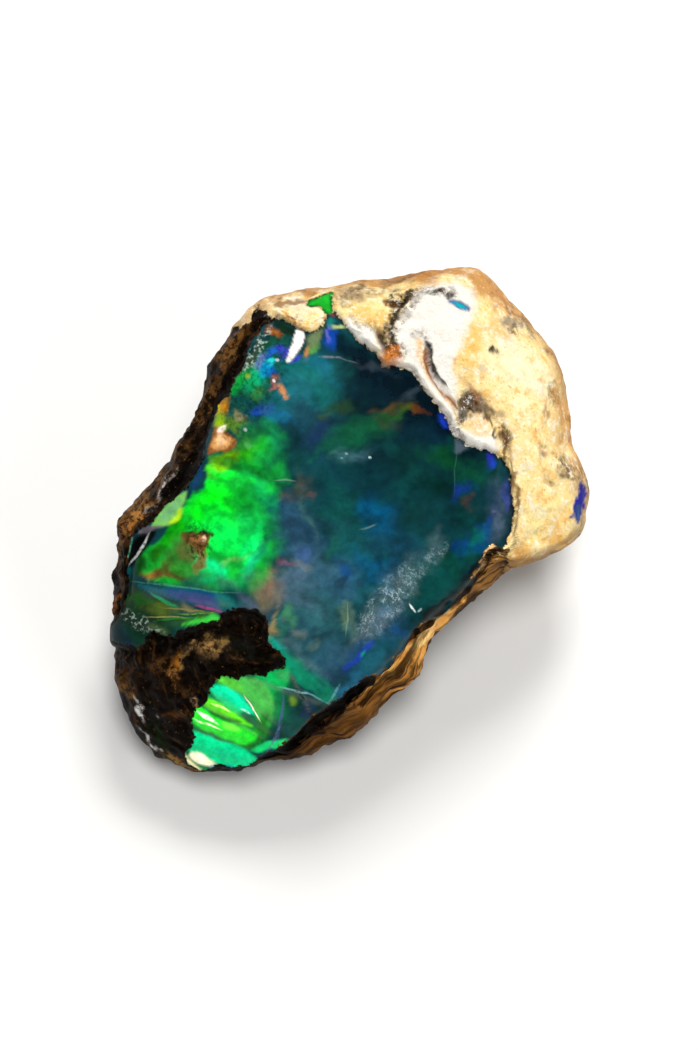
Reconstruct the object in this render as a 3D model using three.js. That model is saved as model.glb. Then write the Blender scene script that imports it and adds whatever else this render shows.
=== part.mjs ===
import * as THREE from 'three';
import { mergeVertices } from 'three/addons/utils/BufferGeometryUtils.js';

// A palm-sized piece of rough opal: one natural stone, lying on a broken flat with its polished
// opal window up. Millimetres, +Z up. The stone is long along Y and the window leans towards -Y.
// Its own face frame has x across the window, y along it and h straight out of it.

const FACE_LEAN = 17;                     // degrees that the window leans from level
const LEAN_BEARING = 36;                  // bearing, from +X, of the level line that it leans about
const FACE_CENTRE = [1.496, -0.679, 14.6]; // where the middle of the window lies
const GRID_DETAIL = 15;                   // cuts per edge of the icosahedron that the skin starts from

// The widest line round the stone, clockwise from the top. Each station is x, y, its height h from
// the window's middle, and how full the face is carried out to it: low falls away in a long slope.
const GIRDLE = [
  [-4.2, 21.8, -5.5, 4.6], [-1.0, 21.7, -6.6, 4.0], [2.6, 21.0, -7.4, 3.6], [6.0, 19.8, -7.8, 3.4],
  [8.6, 17.5, -8.2, 3.2], [10.4, 15.4, -8.2, 3.2], [12.8, 14.0, -7.8, 3.4], [14.6, 11.6, -7.4, 3.8],
  [15.0, 9.4, -7.0, 4.2], [13.8, 6.6, -6.0, 4.8], [12.0, 4.2, -4.8, 5.6], [11.7, 1.6, -4.0, 6.4],
  [11.0, -1.2, -3.8, 7.0], [10.6, -3.6, -3.8, 7.0], [11.3, -6.6, -4.4, 6.4], [10.6, -10.0, -4.8, 6.0],
  [10.0, -13.2, -5.0, 6.0], [8.0, -16.6, -5.2, 6.0], [5.4, -20.0, -5.6, 5.6], [2.0, -22.6, -6.0, 5.0],
  [-1.0, -23.4, -6.0, 5.0], [-4.6, -22.8, -5.6, 5.4], [-8.0, -20.4, -5.0, 6.0],
  [-10.3, -17.4, -4.6, 7.0], [-13.0, -13.4, -4.2, 8.0], [-14.6, -10.2, -3.8, 8.0],
  [-14.5, -6.0, -3.4, 8.0], [-15.0, -0.4, -3.2, 8.0], [-16.2, 4.0, -3.2, 7.6], [-16.2, 9.2, -3.4, 7.2],
  [-14.2, 12.1, -4.0, 6.6], [-12.2, 14.2, -4.4, 6.0], [-8.6, 17.6, -5.0, 5.2],
];

// The edge of the opal window, seen straight on, clockwise from the top: x, y, and how high the
// ironstone or matrix outside stands over it.
const WINDOW_EDGE = [
  [-5.0, 11.6, 0.7], [0.4, 11.3, 0.8], [6.0, 11.0, 0.7], [9.2, 8.8, 0.6], [10.4, 5.6, 0.3],
  [9.9, 0.6, 0.0], [8.7, -4.4, -0.2], [7.6, -10.0, -0.4], [6.2, -15.0, -0.4], [4.6, -19.4, -0.3],
  [0.6, -22.0, -0.1], [-4.0, -22.0, -0.1], [-9.6, -17.8, 0.1], [-12.6, -11.4, 0.5], [-12.0, -5.0, 0.6],
  [-13.4, 2.0, 0.7], [-14.0, 7.0, 0.8], [-12.6, 11.6, 0.6], [-9.0, 12.4, 0.6],
];
const LINE_STEPS = 24;                    // points that a line gains between two stations
const STEP_START = -0.032;                // share of the window's reach at which the rim starts to
const STEP_END = 0.16;                    // climb, inside the edge, and at which it is at its full height

const CROWN_HEIGHT = 0.9;                 // how far the window bulges over its edge
const CROWN_REACH = 17;                   // where the bulge has died away
const BACK_FULLNESS = 2.8;
const BACK_DEPTH = -21;                   // lowest point of the back, before the flat is broken off

// Old breaks on flanks and back: bearing, degrees that they face below level, and distance out.
const BREAKS = [
  [97, 14, 20.3], [128, 22, 16.8], [62, 20, 18.0], [35, 28, 16.0], [8, 16, 12.6], [340, 26, 11.6],
  [305, 18, 15.6], [272, 24, 19.6], [248, 14, 20.4], [222, 26, 15.6], [196, 16, 14.4],
  [168, 24, 15.0], [148, 34, 15.2], [80, 44, 16.6], [20, 52, 12.4], [318, 48, 12.2],
  [230, 50, 13.6], [184, 50, 12.0],
];
const BREAK_DEPTH = 0.86;                 // share of the overhang that broke away
const HEART = new THREE.Vector3(0, 0, -7); // point inside the stone that breaks are measured from
const BREAKS_FULL = 0.3;                  // how far below the girdle, of 1, breaks reach their full depth
const SMOOTHING_TURNS = [-0.36, -0.18, 0, 0.18, 0.36]; // radians over which the lower flanks even out
const EVENED_FULL = 0.5;                  // how far below the girdle, of 1, they are evened out altogether
const FLANK_SWELL = 0.4;                  // the most that evening out carries a flank past the girdle
const WELD_GAP = 1e-5;                    // corners of the starting sphere nearer than this are one

// A closed smooth line through stations that may carry any number of values.
function smoothLine(stations) {
  const line = [];
  const count = stations.length;
  stations.forEach((from, index) => {
    const before = stations[(index + count - 1) % count];
    const to = stations[(index + 1) % count];
    const after = stations[(index + 2) % count];
    for (let step = 0; step < LINE_STEPS; step += 1) {
      const t = step / LINE_STEPS;
      line.push(from.map((value, k) => 0.5 * (
        2 * value
        + (to[k] - before[k]) * t
        + (2 * before[k] - 5 * value + 4 * to[k] - after[k]) * t ** 2
        + (3 * value - before[k] - 3 * to[k] + after[k]) * t ** 3
      )));
    }
  });
  return line;
}

// Looks up such a line by bearing: gives the reach to it, then its further values.
function lookAround(stations) {
  const around = smoothLine(stations).map(([x, y, ...values]) => ({
    bearing: Math.atan2(y, x),
    found: [Math.hypot(x, y), ...values],
  }));
  around.sort((a, b) => a.bearing - b.bearing);
  const turn = 2 * Math.PI;
  return (bearing) => {
    const next = Math.max(0, around.findIndex((spot) => spot.bearing > bearing));
    const after = around[next];
    const before = around[(next + around.length - 1) % around.length];
    const gap = (after.bearing - before.bearing + turn) % turn;
    const share = ((bearing - before.bearing + turn) % turn) / gap;
    return before.found.map((value, k) => THREE.MathUtils.lerp(value, after.found[k], share));
  };
}

const girdleAt = lookAround(GIRDLE);
const windowEdgeAt = lookAround(WINDOW_EDGE);

// Height of the front face at a point seen straight on.
function faceHeight(reach, bearing) {
  const [edgeReach, rimHeight] = windowEdgeAt(bearing);
  const crown = CROWN_HEIGHT * (1 - (reach / CROWN_REACH) ** 2);
  const climb = THREE.MathUtils.smoothstep(reach / edgeReach - 1, STEP_START, STEP_END);
  return crown + climb * rimHeight;
}

// Pushes one direction of a sphere out to the stone's skin, in the face frame.
function skinPoint(direction) {
  const bearing = Math.atan2(direction.y, direction.x);
  const outward = Math.min(1, Math.hypot(direction.x, direction.y));
  const [widest, girdleHeight, fullness] = girdleAt(bearing);
  if (direction.z >= 0) {
    const reach = outward * widest;
    const rise = Math.sqrt(1 - outward ** fullness);
    const height = THREE.MathUtils.lerp(girdleHeight, faceHeight(reach, bearing), rise);
    return new THREE.Vector3(reach * Math.cos(bearing), reach * Math.sin(bearing), height);
  }
  const nearby = SMOOTHING_TURNS.map((turn) => girdleAt(Math.atan2(
    Math.sin(bearing + turn),
    Math.cos(bearing + turn),
  ))[0]);
  const evened = nearby.reduce((sum, value) => sum + value) / nearby.length;
  const below = THREE.MathUtils.smoothstep(-direction.z, 0, EVENED_FULL);
  const reach = outward * THREE.MathUtils.lerp(widest, Math.min(evened, widest + FLANK_SWELL), below);
  const drop = Math.sqrt(1 - outward ** BACK_FULLNESS);
  const height = THREE.MathUtils.lerp(girdleHeight, BACK_DEPTH, drop);
  return new THREE.Vector3(reach * Math.cos(bearing), reach * Math.sin(bearing), height);
}

// Knocks the old breaks off whatever lies below the girdle.
const breaks = BREAKS.map(([bearing, dip, distance]) => {
  const turn = THREE.MathUtils.degToRad(bearing);
  const fall = THREE.MathUtils.degToRad(dip);
  const facing = new THREE.Vector3(Math.cos(turn), Math.sin(turn), -Math.tan(fall)).normalize();
  return { facing, distance };
});
function breakBack(point, share) {
  const arm = point.clone().sub(HEART);
  for (const { facing, distance } of breaks) {
    const overhang = arm.dot(facing);
    if (overhang > distance) {
      arm.multiplyScalar(THREE.MathUtils.lerp(1, distance / overhang, share * BREAK_DEPTH));
    }
  }
  return arm.add(HEART);
}

const leanAxis = new THREE.Vector3(1, 0, 0).applyAxisAngle(
  new THREE.Vector3(0, 0, 1),
  THREE.MathUtils.degToRad(LEAN_BEARING),
);
const lean = new THREE.Quaternion().setFromAxisAngle(leanAxis, THREE.MathUtils.degToRad(FACE_LEAN));
const centre = new THREE.Vector3(...FACE_CENTRE);
const restingHeart = HEART.clone().applyQuaternion(lean).add(centre);

// The broken flat that the stone lies on: what would hang below it is drawn up onto the plane.
function restOnFlat(point) {
  if (point.z >= 0) return point;
  const share = restingHeart.z / (restingHeart.z - point.z);
  return restingHeart.clone().lerp(point, share).setZ(0);
}

function stoneGeometry() {
  const sphere = new THREE.IcosahedronGeometry(1, GRID_DETAIL);
  sphere.deleteAttribute('normal');
  sphere.deleteAttribute('uv');
  const skin = mergeVertices(sphere, WELD_GAP);
  const place = skin.attributes.position;
  for (let i = 0; i < place.count; i += 1) {
    const direction = new THREE.Vector3().fromBufferAttribute(place, i).normalize();
    const below = THREE.MathUtils.smoothstep(-direction.z, 0, BREAKS_FULL);
    const point = breakBack(skinPoint(direction), below).applyQuaternion(lean).add(centre);
    place.setXYZ(i, ...restOnFlat(point).toArray());
  }
  skin.computeVertexNormals();
  return skin;
}

const opalFinish = new THREE.MeshStandardMaterial({ color: 0x2c6f6a, roughness: 0.2, metalness: 0 });

const roughOpal = new THREE.Mesh(stoneGeometry(), opalFinish);
roughOpal.name = 'rough_opal';

const group = new THREE.Group();
group.add(roughOpal);

export default group;
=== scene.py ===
import math

import bmesh
import bpy
import numpy as np
from mathutils import Matrix, Vector, noise


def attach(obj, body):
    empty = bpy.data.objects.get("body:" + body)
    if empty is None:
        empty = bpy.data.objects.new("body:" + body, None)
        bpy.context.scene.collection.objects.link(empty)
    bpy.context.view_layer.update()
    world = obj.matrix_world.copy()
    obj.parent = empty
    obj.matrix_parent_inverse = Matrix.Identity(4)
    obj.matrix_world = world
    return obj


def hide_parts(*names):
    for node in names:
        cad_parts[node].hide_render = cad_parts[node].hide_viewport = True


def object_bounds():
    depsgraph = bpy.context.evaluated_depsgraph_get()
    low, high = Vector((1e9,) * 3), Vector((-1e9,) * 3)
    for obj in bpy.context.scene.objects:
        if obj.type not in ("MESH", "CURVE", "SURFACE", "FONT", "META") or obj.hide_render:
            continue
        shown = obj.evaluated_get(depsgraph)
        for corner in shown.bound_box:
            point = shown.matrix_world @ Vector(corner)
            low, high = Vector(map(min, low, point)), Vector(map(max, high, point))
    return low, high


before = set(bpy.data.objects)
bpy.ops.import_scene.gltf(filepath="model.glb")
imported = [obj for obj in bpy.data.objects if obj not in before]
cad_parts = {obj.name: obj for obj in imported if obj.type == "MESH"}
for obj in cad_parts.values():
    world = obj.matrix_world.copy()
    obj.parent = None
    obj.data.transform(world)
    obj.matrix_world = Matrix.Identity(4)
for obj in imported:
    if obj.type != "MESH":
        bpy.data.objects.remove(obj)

cad_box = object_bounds()


# ---------------------------------------------------------------------------------------------
# The rough body.
# One natural stone of opal, ironstone and cream matrix that formed together, 44 mm long. It lies
# on a broken flat with its polished window up. Sizes here are in millimetres in the face frame:
# x across the window, y along it, h straight out of it.
FACE_LEAN = math.radians(17)
LEAN_BEARING = math.radians(36)
FACE_CENTRE = np.array([1.496, -0.679, 14.6])
HEART = np.array([0.0, 0.0, -7.0])

# The widest line round the stone, clockwise from the top: x, y, h, and how full the face is
# carried out to it.
GIRDLE = [
    (-4.2, 21.8, -5.5, 4.6), (-1.0, 21.7, -6.6, 4.0), (2.6, 21.0, -7.4, 3.6), (6.0, 19.8, -7.8, 3.4),
    (8.6, 17.5, -8.2, 3.2), (10.4, 15.4, -8.2, 3.2), (12.8, 14.0, -7.8, 3.4), (14.6, 11.6, -7.4, 3.8),
    (15.0, 9.4, -7.0, 4.2), (13.8, 6.6, -6.0, 4.8), (12.0, 4.2, -4.8, 5.6), (11.7, 1.6, -4.0, 6.4),
    (11.0, -1.2, -3.8, 7.0), (10.6, -3.6, -3.8, 7.0), (11.3, -6.6, -4.4, 6.4),
    (10.6, -10.0, -4.8, 6.0), (10.0, -13.2, -5.0, 6.0), (8.0, -16.6, -5.2, 6.0),
    (5.4, -20.0, -5.6, 5.6), (2.0, -22.6, -6.0, 5.0), (-1.0, -23.4, -6.0, 5.0),
    (-4.6, -22.8, -5.6, 5.4), (-8.0, -20.4, -5.0, 6.0), (-10.3, -17.4, -4.6, 7.0),
    (-13.0, -13.4, -4.2, 8.0), (-14.6, -10.2, -3.8, 8.0), (-14.5, -6.0, -3.4, 8.0),
    (-15.0, -0.4, -3.2, 8.0), (-16.2, 4.0, -3.2, 7.6), (-16.2, 9.2, -3.4, 7.2),
    (-14.2, 12.1, -4.0, 6.6), (-12.2, 14.2, -4.4, 6.0), (-8.6, 17.6, -5.0, 5.2),
]
CROWN_HEIGHT = 0.9
CROWN_REACH = 17.0
BACK_FULLNESS = 2.8
BACK_DEPTH = -21.0
FLANK_SWELL = 0.4        # how far the flank may stand out past the widest line
FLANK_LENGTH = 16.0      # down the flank, as the face's own colours are carried on over its edge
# Old breaks on flanks and back: bearing, degrees that they face below level, and distance out.
BREAKS = [
    (97, 14, 20.3), (128, 22, 16.8), (62, 20, 18.0), (35, 28, 16.0), (8, 16, 12.6), (340, 26, 11.6),
    (305, 18, 15.6), (272, 24, 19.6), (248, 14, 20.4), (222, 26, 15.6), (196, 16, 14.4),
    (168, 24, 15.0), (148, 34, 15.2), (80, 44, 16.6), (20, 52, 12.4), (318, 48, 12.2),
    (230, 50, 13.6), (184, 50, 12.0),
]
BREAK_DEPTH = 0.86
EVENING_TURNS = (-0.36, -0.18, 0.0, 0.18, 0.36)
SKIN_CUTS = 127          # cuts per edge of the block that the skin is drawn from
FACE_POINTS = math.radians(118)     # of the half turn from face to back, what the face's points take


def smooth_line(stations, steps=12, closed=True):
    """A smooth line through stations that may carry any number of values."""
    points = np.array(stations, float)
    if not closed:
        points = np.vstack([2 * points[0] - points[1], points, 2 * points[-1] - points[-2]])
    before, to, after = (np.roll(points, shift, axis=0) for shift in (1, -1, -2))
    t = np.linspace(0, 1, steps, endpoint=False)[:, None, None]
    line = 0.5 * (
        2 * points
        + (to - before) * t
        + (2 * before - 5 * points + 4 * to - after) * t**2
        + (3 * points - before - 3 * to + after) * t**3
    )
    line = line.transpose(1, 0, 2)
    if closed:
        return line.reshape(-1, points.shape[1])
    return np.vstack([line[1:-2].reshape(-1, points.shape[1]), points[-2]])


def look_around(line, turn_to):
    """Reach and further values of a closed line at the given bearings."""
    bearings = np.arctan2(line[:, 1], line[:, 0])
    values = [np.hypot(line[:, 0], line[:, 1]), *line[:, 2:].T]
    return [np.interp(turn_to, bearings[np.argsort(bearings)], value[np.argsort(bearings)],
                      period=2 * math.pi) for value in values]


def ease(value, low, high):
    """Climbs smoothly from 0 at low to 1 at high."""
    share = np.clip((value - low) / (high - low), 0, 1)
    return share * share * (3 - 2 * share)


def mix(low, high, share):
    return low + (high - low) * share


# The skin is drawn from a finely cut block blown up to a ball. Each of its points is then carried out
# from the middle of the stone, and the face takes the larger share of them.
block = bmesh.new()
bmesh.ops.create_cube(block, size=2)
bmesh.ops.subdivide_edges(block, edges=block.edges, cuts=SKIN_CUTS, use_grid_fill=True)
stone_mesh = bpy.data.meshes.new("rough_opal_stone")
block.to_mesh(stone_mesh)
block.free()
point_count = len(stone_mesh.vertices)
direction = np.zeros(point_count * 3)
stone_mesh.vertices.foreach_get("co", direction)
direction = np.tan(direction.reshape(-1, 3) * math.pi / 4)
direction /= np.linalg.norm(direction, axis=1)[:, None]
tilt = np.arccos(np.clip(direction[:, 2], -1, 1))
tilt = np.interp(tilt, [0, FACE_POINTS, math.pi], [0, math.pi / 2, math.pi])
level = np.hypot(direction[:, 0], direction[:, 1]) + 1e-12
direction[:, :2] *= (np.sin(tilt) / level)[:, None]
direction[:, 2] = np.cos(tilt)

bearing = np.arctan2(direction[:, 1], direction[:, 0])
outward = np.clip(np.hypot(direction[:, 0], direction[:, 1]), 0, 1)
is_face = direction[:, 2] >= 0
below_girdle = ease(-direction[:, 2], 0, 0.3)

girdle_line = smooth_line(GIRDLE, steps=24)
widest, girdle_height, fullness = look_around(girdle_line, bearing)
evened = np.mean([look_around(girdle_line, bearing + turn)[0] for turn in EVENING_TURNS], axis=0)
flank_reach = mix(widest, np.minimum(evened, widest + FLANK_SWELL), ease(-direction[:, 2], 0, 0.5))
reach = outward * np.where(is_face, widest, flank_reach)
x = reach * np.cos(bearing)
y = reach * np.sin(bearing)
drop = np.sqrt(np.clip(1 - outward**BACK_FULLNESS, 0, 1))
spread_reach = np.where(is_face, reach, widest + FLANK_LENGTH * drop)
spread_x = spread_reach * np.cos(bearing)
spread_y = spread_reach * np.sin(bearing)


# ---------------------------------------------------------------------------------------------
# The opal window.
# Dark crystal opal, ground and polished to a low dome over most of the face. Its edge is where the
# polish runs out against ironstone and matrix, and shell-shaped breaks step down its lower end.
WINDOW_EDGE = [
    (-11.65, 13.7), (-11.0, 13.0), (-10.5, 12.5), (-9.9, 12.4), (-9.0, 12.1), (-7.7, 11.8), (-6.6, 11.9),
    (-5.6, 11.5), (-4.9, 11.3), (-4.4, 11.8), (-3.4, 12.2), (-1.2, 11.7), (0.4, 11.2), (1.8, 10.5),
    (2.7, 10.2), (3.6, 10.3), (4.4, 10.6), (5.4, 10.8), (6.8, 10.9), (7.8, 10.2),
    (8.8, 9.0), (9.9, 7.6), (10.5, 6.2), (10.3, 5.4), (9.6, 5.1), (9.5, 4.2), (9.9, 3.0),
    (10.0, 0.8), (9.8, -1.0), (9.2, -2.2), (8.7, -3.6), (8.9, -6.0), (8.6, -7.8), (7.6, -9.2),
    (7.2, -11.2), (6.4, -13.0), (6.1, -15.2), (5.6, -17.0), (5.0, -18.4), (4.6, -19.6),
    (3.0, -20.8), (1.9, -22.0), (0.6, -22.3), (0.0, -21.6), (0.1, -20.4), (-0.7, -19.6),
    (-1.3, -18.5), (-0.9, -17.1), (-1.4, -16.3), (-1.2, -15.4), (-0.3, -14.6), (1.2, -13.3),
    (1.7, -12.4), (2.1, -11.5), (1.5, -11.0), (0.4, -11.0), (-0.3, -10.3), (-1.0, -9.6),
    (-1.8, -9.4), (-2.8, -10.0), (-3.6, -10.7), (-4.0, -11.2), (-3.7, -11.8), (-4.6, -12.7),
    (-5.6, -14.0), (-6.1, -15.0), (-7.3, -16.0), (-7.8, -17.2), (-8.8, -17.8), (-9.8, -18.2),
    (-10.3, -17.0), (-10.4, -15.4), (-11.2, -13.6), (-12.4, -11.8), (-13.0, -10.4), (-12.5, -8.8),
    (-12.1, -6.6), (-11.8, -5.0), (-12.0, -3.0), (-12.8, -0.8), (-13.4, 1.4), (-13.6, 4.4),
    (-14.3, 6.6), (-14.2, 8.6), (-13.8, 9.6), (-12.2, 9.8), (-11.1, 10.2), (-10.8, 11.2),
    (-11.0, 11.9), (-11.8, 11.9), (-12.6, 11.6), (-12.4, 12.6),
]

FRAYED = (-7.0, -15.9)           # here the edge breaks up into crumbs of opal and ironstone
CRUMB = 0.8                      # size of the crumbs along the edge
LEDGE_CRUMBS = 0.16              # how far they stand in or out along the matrix
RAGGED_BY = (0.25, 0.16)         # how far the edge itself wanders, below and along the matrix


def along_line(line, px, py):
    """Distance in mm from each place to a line, signed + on its left, and how far along it lies."""
    best = np.full(len(px), 1e9)
    side = np.zeros(len(px))
    travelled = np.zeros(len(px))
    run = 0.0
    for (ax, ay), (bx, by) in zip(line[:-1, :2], line[1:, :2]):
        length = math.hypot(bx - ax, by - ay)
        if length < 1e-9:
            continue
        ux, uy = (bx - ax) / length, (by - ay) / length
        along = np.clip((px - ax) * ux + (py - ay) * uy, 0, length)
        gap = np.hypot(px - ax - along * ux, py - ay - along * uy)
        nearer = gap < best - 1e-9
        best = np.where(nearer, gap, best)
        side = np.where(nearer, np.sign(ux * (py - ay) - uy * (px - ax)), side)
        travelled = np.where(nearer, run + along, travelled)
        run += length
    return best * side, travelled


def inside_by(stations, px, py):
    """How far in mm each place lies inside a closed outline; -3 or less far outside it."""
    line = smooth_line(stations, 4)
    closed = np.vstack([line, line[:1]])
    low, high = line.min(axis=0) - 3, line.max(axis=0) + 3
    near = (px > low[0]) & (px < high[0]) & (py > low[1]) & (py < high[1])
    px, py = px[near], py[near]
    gap = np.abs(along_line(closed, px, py)[0])
    inside = np.zeros(len(px), bool)
    for (ax, ay), (bx, by) in zip(closed[:-1], closed[1:]):
        crosses = (ay > py) != (by > py)
        if ay != by:
            inside ^= crosses & (px < ax + (py - ay) * (bx - ax) / (by - ay))
    depth = np.full(len(near), -3.0)
    depth[near] = np.where(inside, gap, -gap)
    return depth


def rough(places, size, octaves=4, falloff=1.0):
    """Natural unevenness of about -1 to 1, with lumps of the given size in mm."""
    return np.array([
        noise.fractal(Vector(place) / size, falloff, 2.0, octaves) for place in places
    ])


in_window = np.where(is_face, inside_by(WINDOW_EDGE, x, y), -3.0)
flat_place = np.column_stack([x, y, np.zeros(point_count)])
ragged = rough(flat_place, 1.1, 2)
crumbling = ease(-np.hypot(x - FRAYED[0], y - FRAYED[1]), -2.6, -0.8)
crumbs = rough(flat_place, CRUMB, 2)
in_window += 0.8 * crumbling * (crumbs - 0.15)
in_window += LEDGE_CRUMBS * ease(y, 8.5, 10.5) * ease(x, -9.5, -8.5) * crumbs
ragged_edge = in_window + mix(*RAGGED_BY, ease(y, 8, 10)) * ragged
crown = CROWN_HEIGHT * (1 - (reach / CROWN_REACH) ** 2)

# Broken steps in the polished face: a line that the face drops along, how far, and how wide.
LENS_STEP = [(-12.4, -13.6), (-10.6, -13.2), (-9.0, -12.3), (-7.0, -11.1), (-5.0, -10.2), (-3.2, -9.9),
             (-1.0, -9.2), (0.4, -10.4), (2.6, -11.6)]
FAN_STEP = [(0.6, -13.6), (2.8, -13.1), (4.6, -12.5), (6.9, -11.9)]
BOWL_RIM = [(2.4, -14.2), (3.6, -14.6), (4.5, -15.8), (4.7, -17.2), (4.2, -18.8), (3.6, -20.0)]
# Ridges in the shell-shaped break: the valleys between them at the middle, and how they slope.
VALLEYS = [-22.4, -21.3, -19.6, -17.8, -16.85, -15.45, -13.8]
VALLEY_SLOPES = [0.32, 0.3, 0.26, 0.2, 0.03, -0.14, -0.3]
RIDGE_HEIGHT = 0.26
BOWL_DEPTH = 0.15


def drop_past(stations, depth, width):
    """A step down on the right-hand side of a line across the face."""
    gap, _ = along_line(smooth_line(stations, 6, closed=False), x, y)
    return -depth * ease(-gap, 0.0, width)


steps_down = drop_past(LENS_STEP, 0.6, 1.2) + drop_past(FAN_STEP, 0.35, 0.5)
bowl_gap, _ = along_line(smooth_line(BOWL_RIM, 6, closed=False), x, y)
in_bowl = ease(-bowl_gap, -0.1, 0.5) * ease(y, -22.6, -21.4) * ease(-y, 13.9, 15.0) * ease(x, -2.5, -1.0)
ridge_row = y - x * np.interp(y, VALLEYS, VALLEY_SLOPES)
ridge_count = np.interp(ridge_row, VALLEYS, range(len(VALLEYS)))
ridges = RIDGE_HEIGHT * np.abs(np.sin(math.pi * ridge_count)) ** 0.7 - RIDGE_HEIGHT
window_relief = steps_down + in_bowl * (ridges - BOWL_DEPTH)


def tint(code):
    """A colour written as #rrggbb, as the shader wants it."""
    parts = [int(code[place:place + 2], 16) / 255 for place in (1, 3, 5)]
    return (*[part / 12.92 if part <= 0.04045 else ((part + 0.055) / 1.055) ** 2.4 for part in parts], 1)


def cloud(px, py, size, octaves=4, seed=1):
    """Cloudy variation of about -1 to 1 over the face, with patches of the given size in mm."""
    heights = np.random.default_rng(seed).uniform(-1, 1, (64, 64))
    total = np.zeros(len(px))
    for octave in range(octaves):
        u, v = px / size * 2**octave, py / size * 2**octave
        column, row = np.floor(u).astype(int), np.floor(v).astype(int)
        right, up = ease(u - column, 0, 1), ease(v - row, 0, 1)
        lower = mix(heights[row % 64, column % 64], heights[row % 64, (column + 1) % 64], right)
        upper = mix(heights[(row + 1) % 64, column % 64], heights[(row + 1) % 64, (column + 1) % 64], right)
        total += mix(lower, upper, up) / 2**octave
    return total


def stirred(size, reach_mm, seed):
    """Places shifted about by cloudy swirls, so that what is laid down on them looks grown."""
    shift_x, shift_y = (reach_mm * cloud(spread_x, spread_y, size, 4, seed + turn) for turn in (0, 1))
    return spread_x + shift_x, spread_y + shift_y


def seen_along(places, cx, cy, turn):
    """How far each place lies along and across an oval's length, from the oval's middle."""
    px, py = places
    cosine, sine = math.cos(math.radians(turn)), math.sin(math.radians(turn))
    return (px - cx) * cosine + (py - cy) * sine, (py - cy) * cosine - (px - cx) * sine


def lay_flashes(colour, places, flashes, wisps):
    """Lays oval flashes of colour, each broken into wisps along its length."""
    for seed, (cx, cy, half_long, half_wide, turn, code, strength, softness) in enumerate(flashes):
        along, across = seen_along(places, cx, cy, turn)
        far = np.hypot(along / half_long, across / half_wide)
        far += wisps * cloud(0.5 * along, across, max(half_wide, 0.5), 3, seed)
        share = strength * ease(-far, -1 - softness, softness - 1)
        colour += (np.array(tint(code)) - colour) * share[:, None]


def lay_patches(colour, places, patches):
    """Lays patches of colour inside outlines; softness is the width of the fading edge in mm."""
    for code, strength, softness, outline in patches:
        depth = inside_by(outline, *places)
        share = strength * ease(depth, -softness, softness)
        colour += (np.array(tint(code)) - colour) * share[:, None]


# Play of colour, from the deepest layers up. Each flash is its centre x and y, half length, half
# width, turn in degrees, colour, strength and softness.
DEEP_FIRE = [
    (-2.0, 10.4, 6.0, 1.5, -4, "#02141f", 0.97, 0.5), (-3.5, 8.6, 3.0, 1.4, -10, "#03202c", 0.85, 0.7),
    (1.0, 8.5, 2.0, 1.2, 10, "#06283c", 0.85, 0.7), (-9.2, 7.2, 1.9, 2.0, 30, "#045e5c", 0.95, 0.6),
    (-8.6, 8.4, 1.5, 0.8, 10, "#045c74", 0.9, 0.6), (-9.0, 4.5, 1.9, 1.6, 0, "#0e5c66", 0.9, 0.7),
    (-7.0, 4.2, 1.5, 1.4, 0, "#164656", 0.8, 0.7), (-5.4, 3.4, 0.9, 1.7, 10, "#18305c", 0.85, 0.7),
    (-8.9, 2.9, 1.2, 0.5, 0, "#085a88", 0.85, 0.6), (-3.4, 2.6, 2.0, 1.8, 0, "#0a3e4c", 0.8, 0.8),
    (2.6, 6.6, 4.0, 1.6, -8, "#032c26", 0.92, 0.8), (0.2, 4.2, 3.0, 1.6, 0, "#06363e", 0.8, 0.8),
    (0.8, 1.8, 1.6, 1.5, 20, "#01547c", 0.92, 0.7), (3.6, 3.4, 2.0, 1.5, 0, "#083838", 0.8, 0.8),
    (-1.8, 0.6, 1.8, 1.5, 0, "#0a4e46", 0.8, 0.8), (3.4, 0.4, 2.0, 1.4, 0, "#103a4e", 0.8, 0.8),
    (6.0, 4.4, 1.4, 1.6, 0, "#08363c", 0.8, 0.8), (8.2, 3.2, 1.2, 2.0, 0, "#085440", 0.9, 0.7),
    (8.3, 5.0, 0.7, 0.9, 0, "#04466c", 0.9, 0.7), (7.6, -0.2, 1.6, 2.0, 0, "#0a504c", 0.9, 0.8),
    (-2.8, -2.6, 2.4, 1.6, 0, "#2a506a", 0.85, 0.8), (2.8, -2.2, 1.9, 1.1, 10, "#0a5074", 0.88, 0.8),
    (1.0, -1.0, 1.4, 1.6, 0, "#104a4e", 0.7, 0.8), (-0.4, -4.4, 2.0, 1.6, 0, "#3c5c6c", 0.8, 0.8),
    (2.2, -4.2, 1.8, 1.2, 0, "#2c586e", 0.8, 0.8), (-0.6, -6.4, 1.6, 1.6, 0, "#475e72", 0.8, 0.8),
    (2.0, -6.6, 1.8, 1.4, 0, "#2a5e62", 0.8, 0.8), (3.0, -8.8, 2.4, 1.3, 0, "#244e5a", 0.8, 0.8),
    (5.0, -9.4, 1.6, 1.6, 0, "#284860", 0.8, 0.8), (7.5, -4.2, 1.0, 1.6, 0, "#205470", 0.88, 0.7),
    (7.7, -7.2, 1.0, 2.2, 0, "#206478", 0.88, 0.7), (6.9, -10.2, 0.8, 1.6, 10, "#246c8c", 0.92, 0.6),
    (-2.4, -8.0, 1.1, 1.3, 0, "#6e6248", 0.8, 0.9), (-3.2, -9.4, 0.9, 0.5, 0, "#585872", 0.7, 0.7),
    (-12.3, 5.0, 0.9, 5.0, 4, "#125038", 0.95, 0.5), (-9.0, -15.0, 3.0, 2.6, 20, "#163016", 0.97, 0.4),
    (5.3, -14.8, 1.3, 2.6, 10, "#0b3a32", 0.97, 0.4), (1.6, -17.6, 3.4, 5.0, 0, "#12843c", 0.97, 0.3),
]
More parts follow.
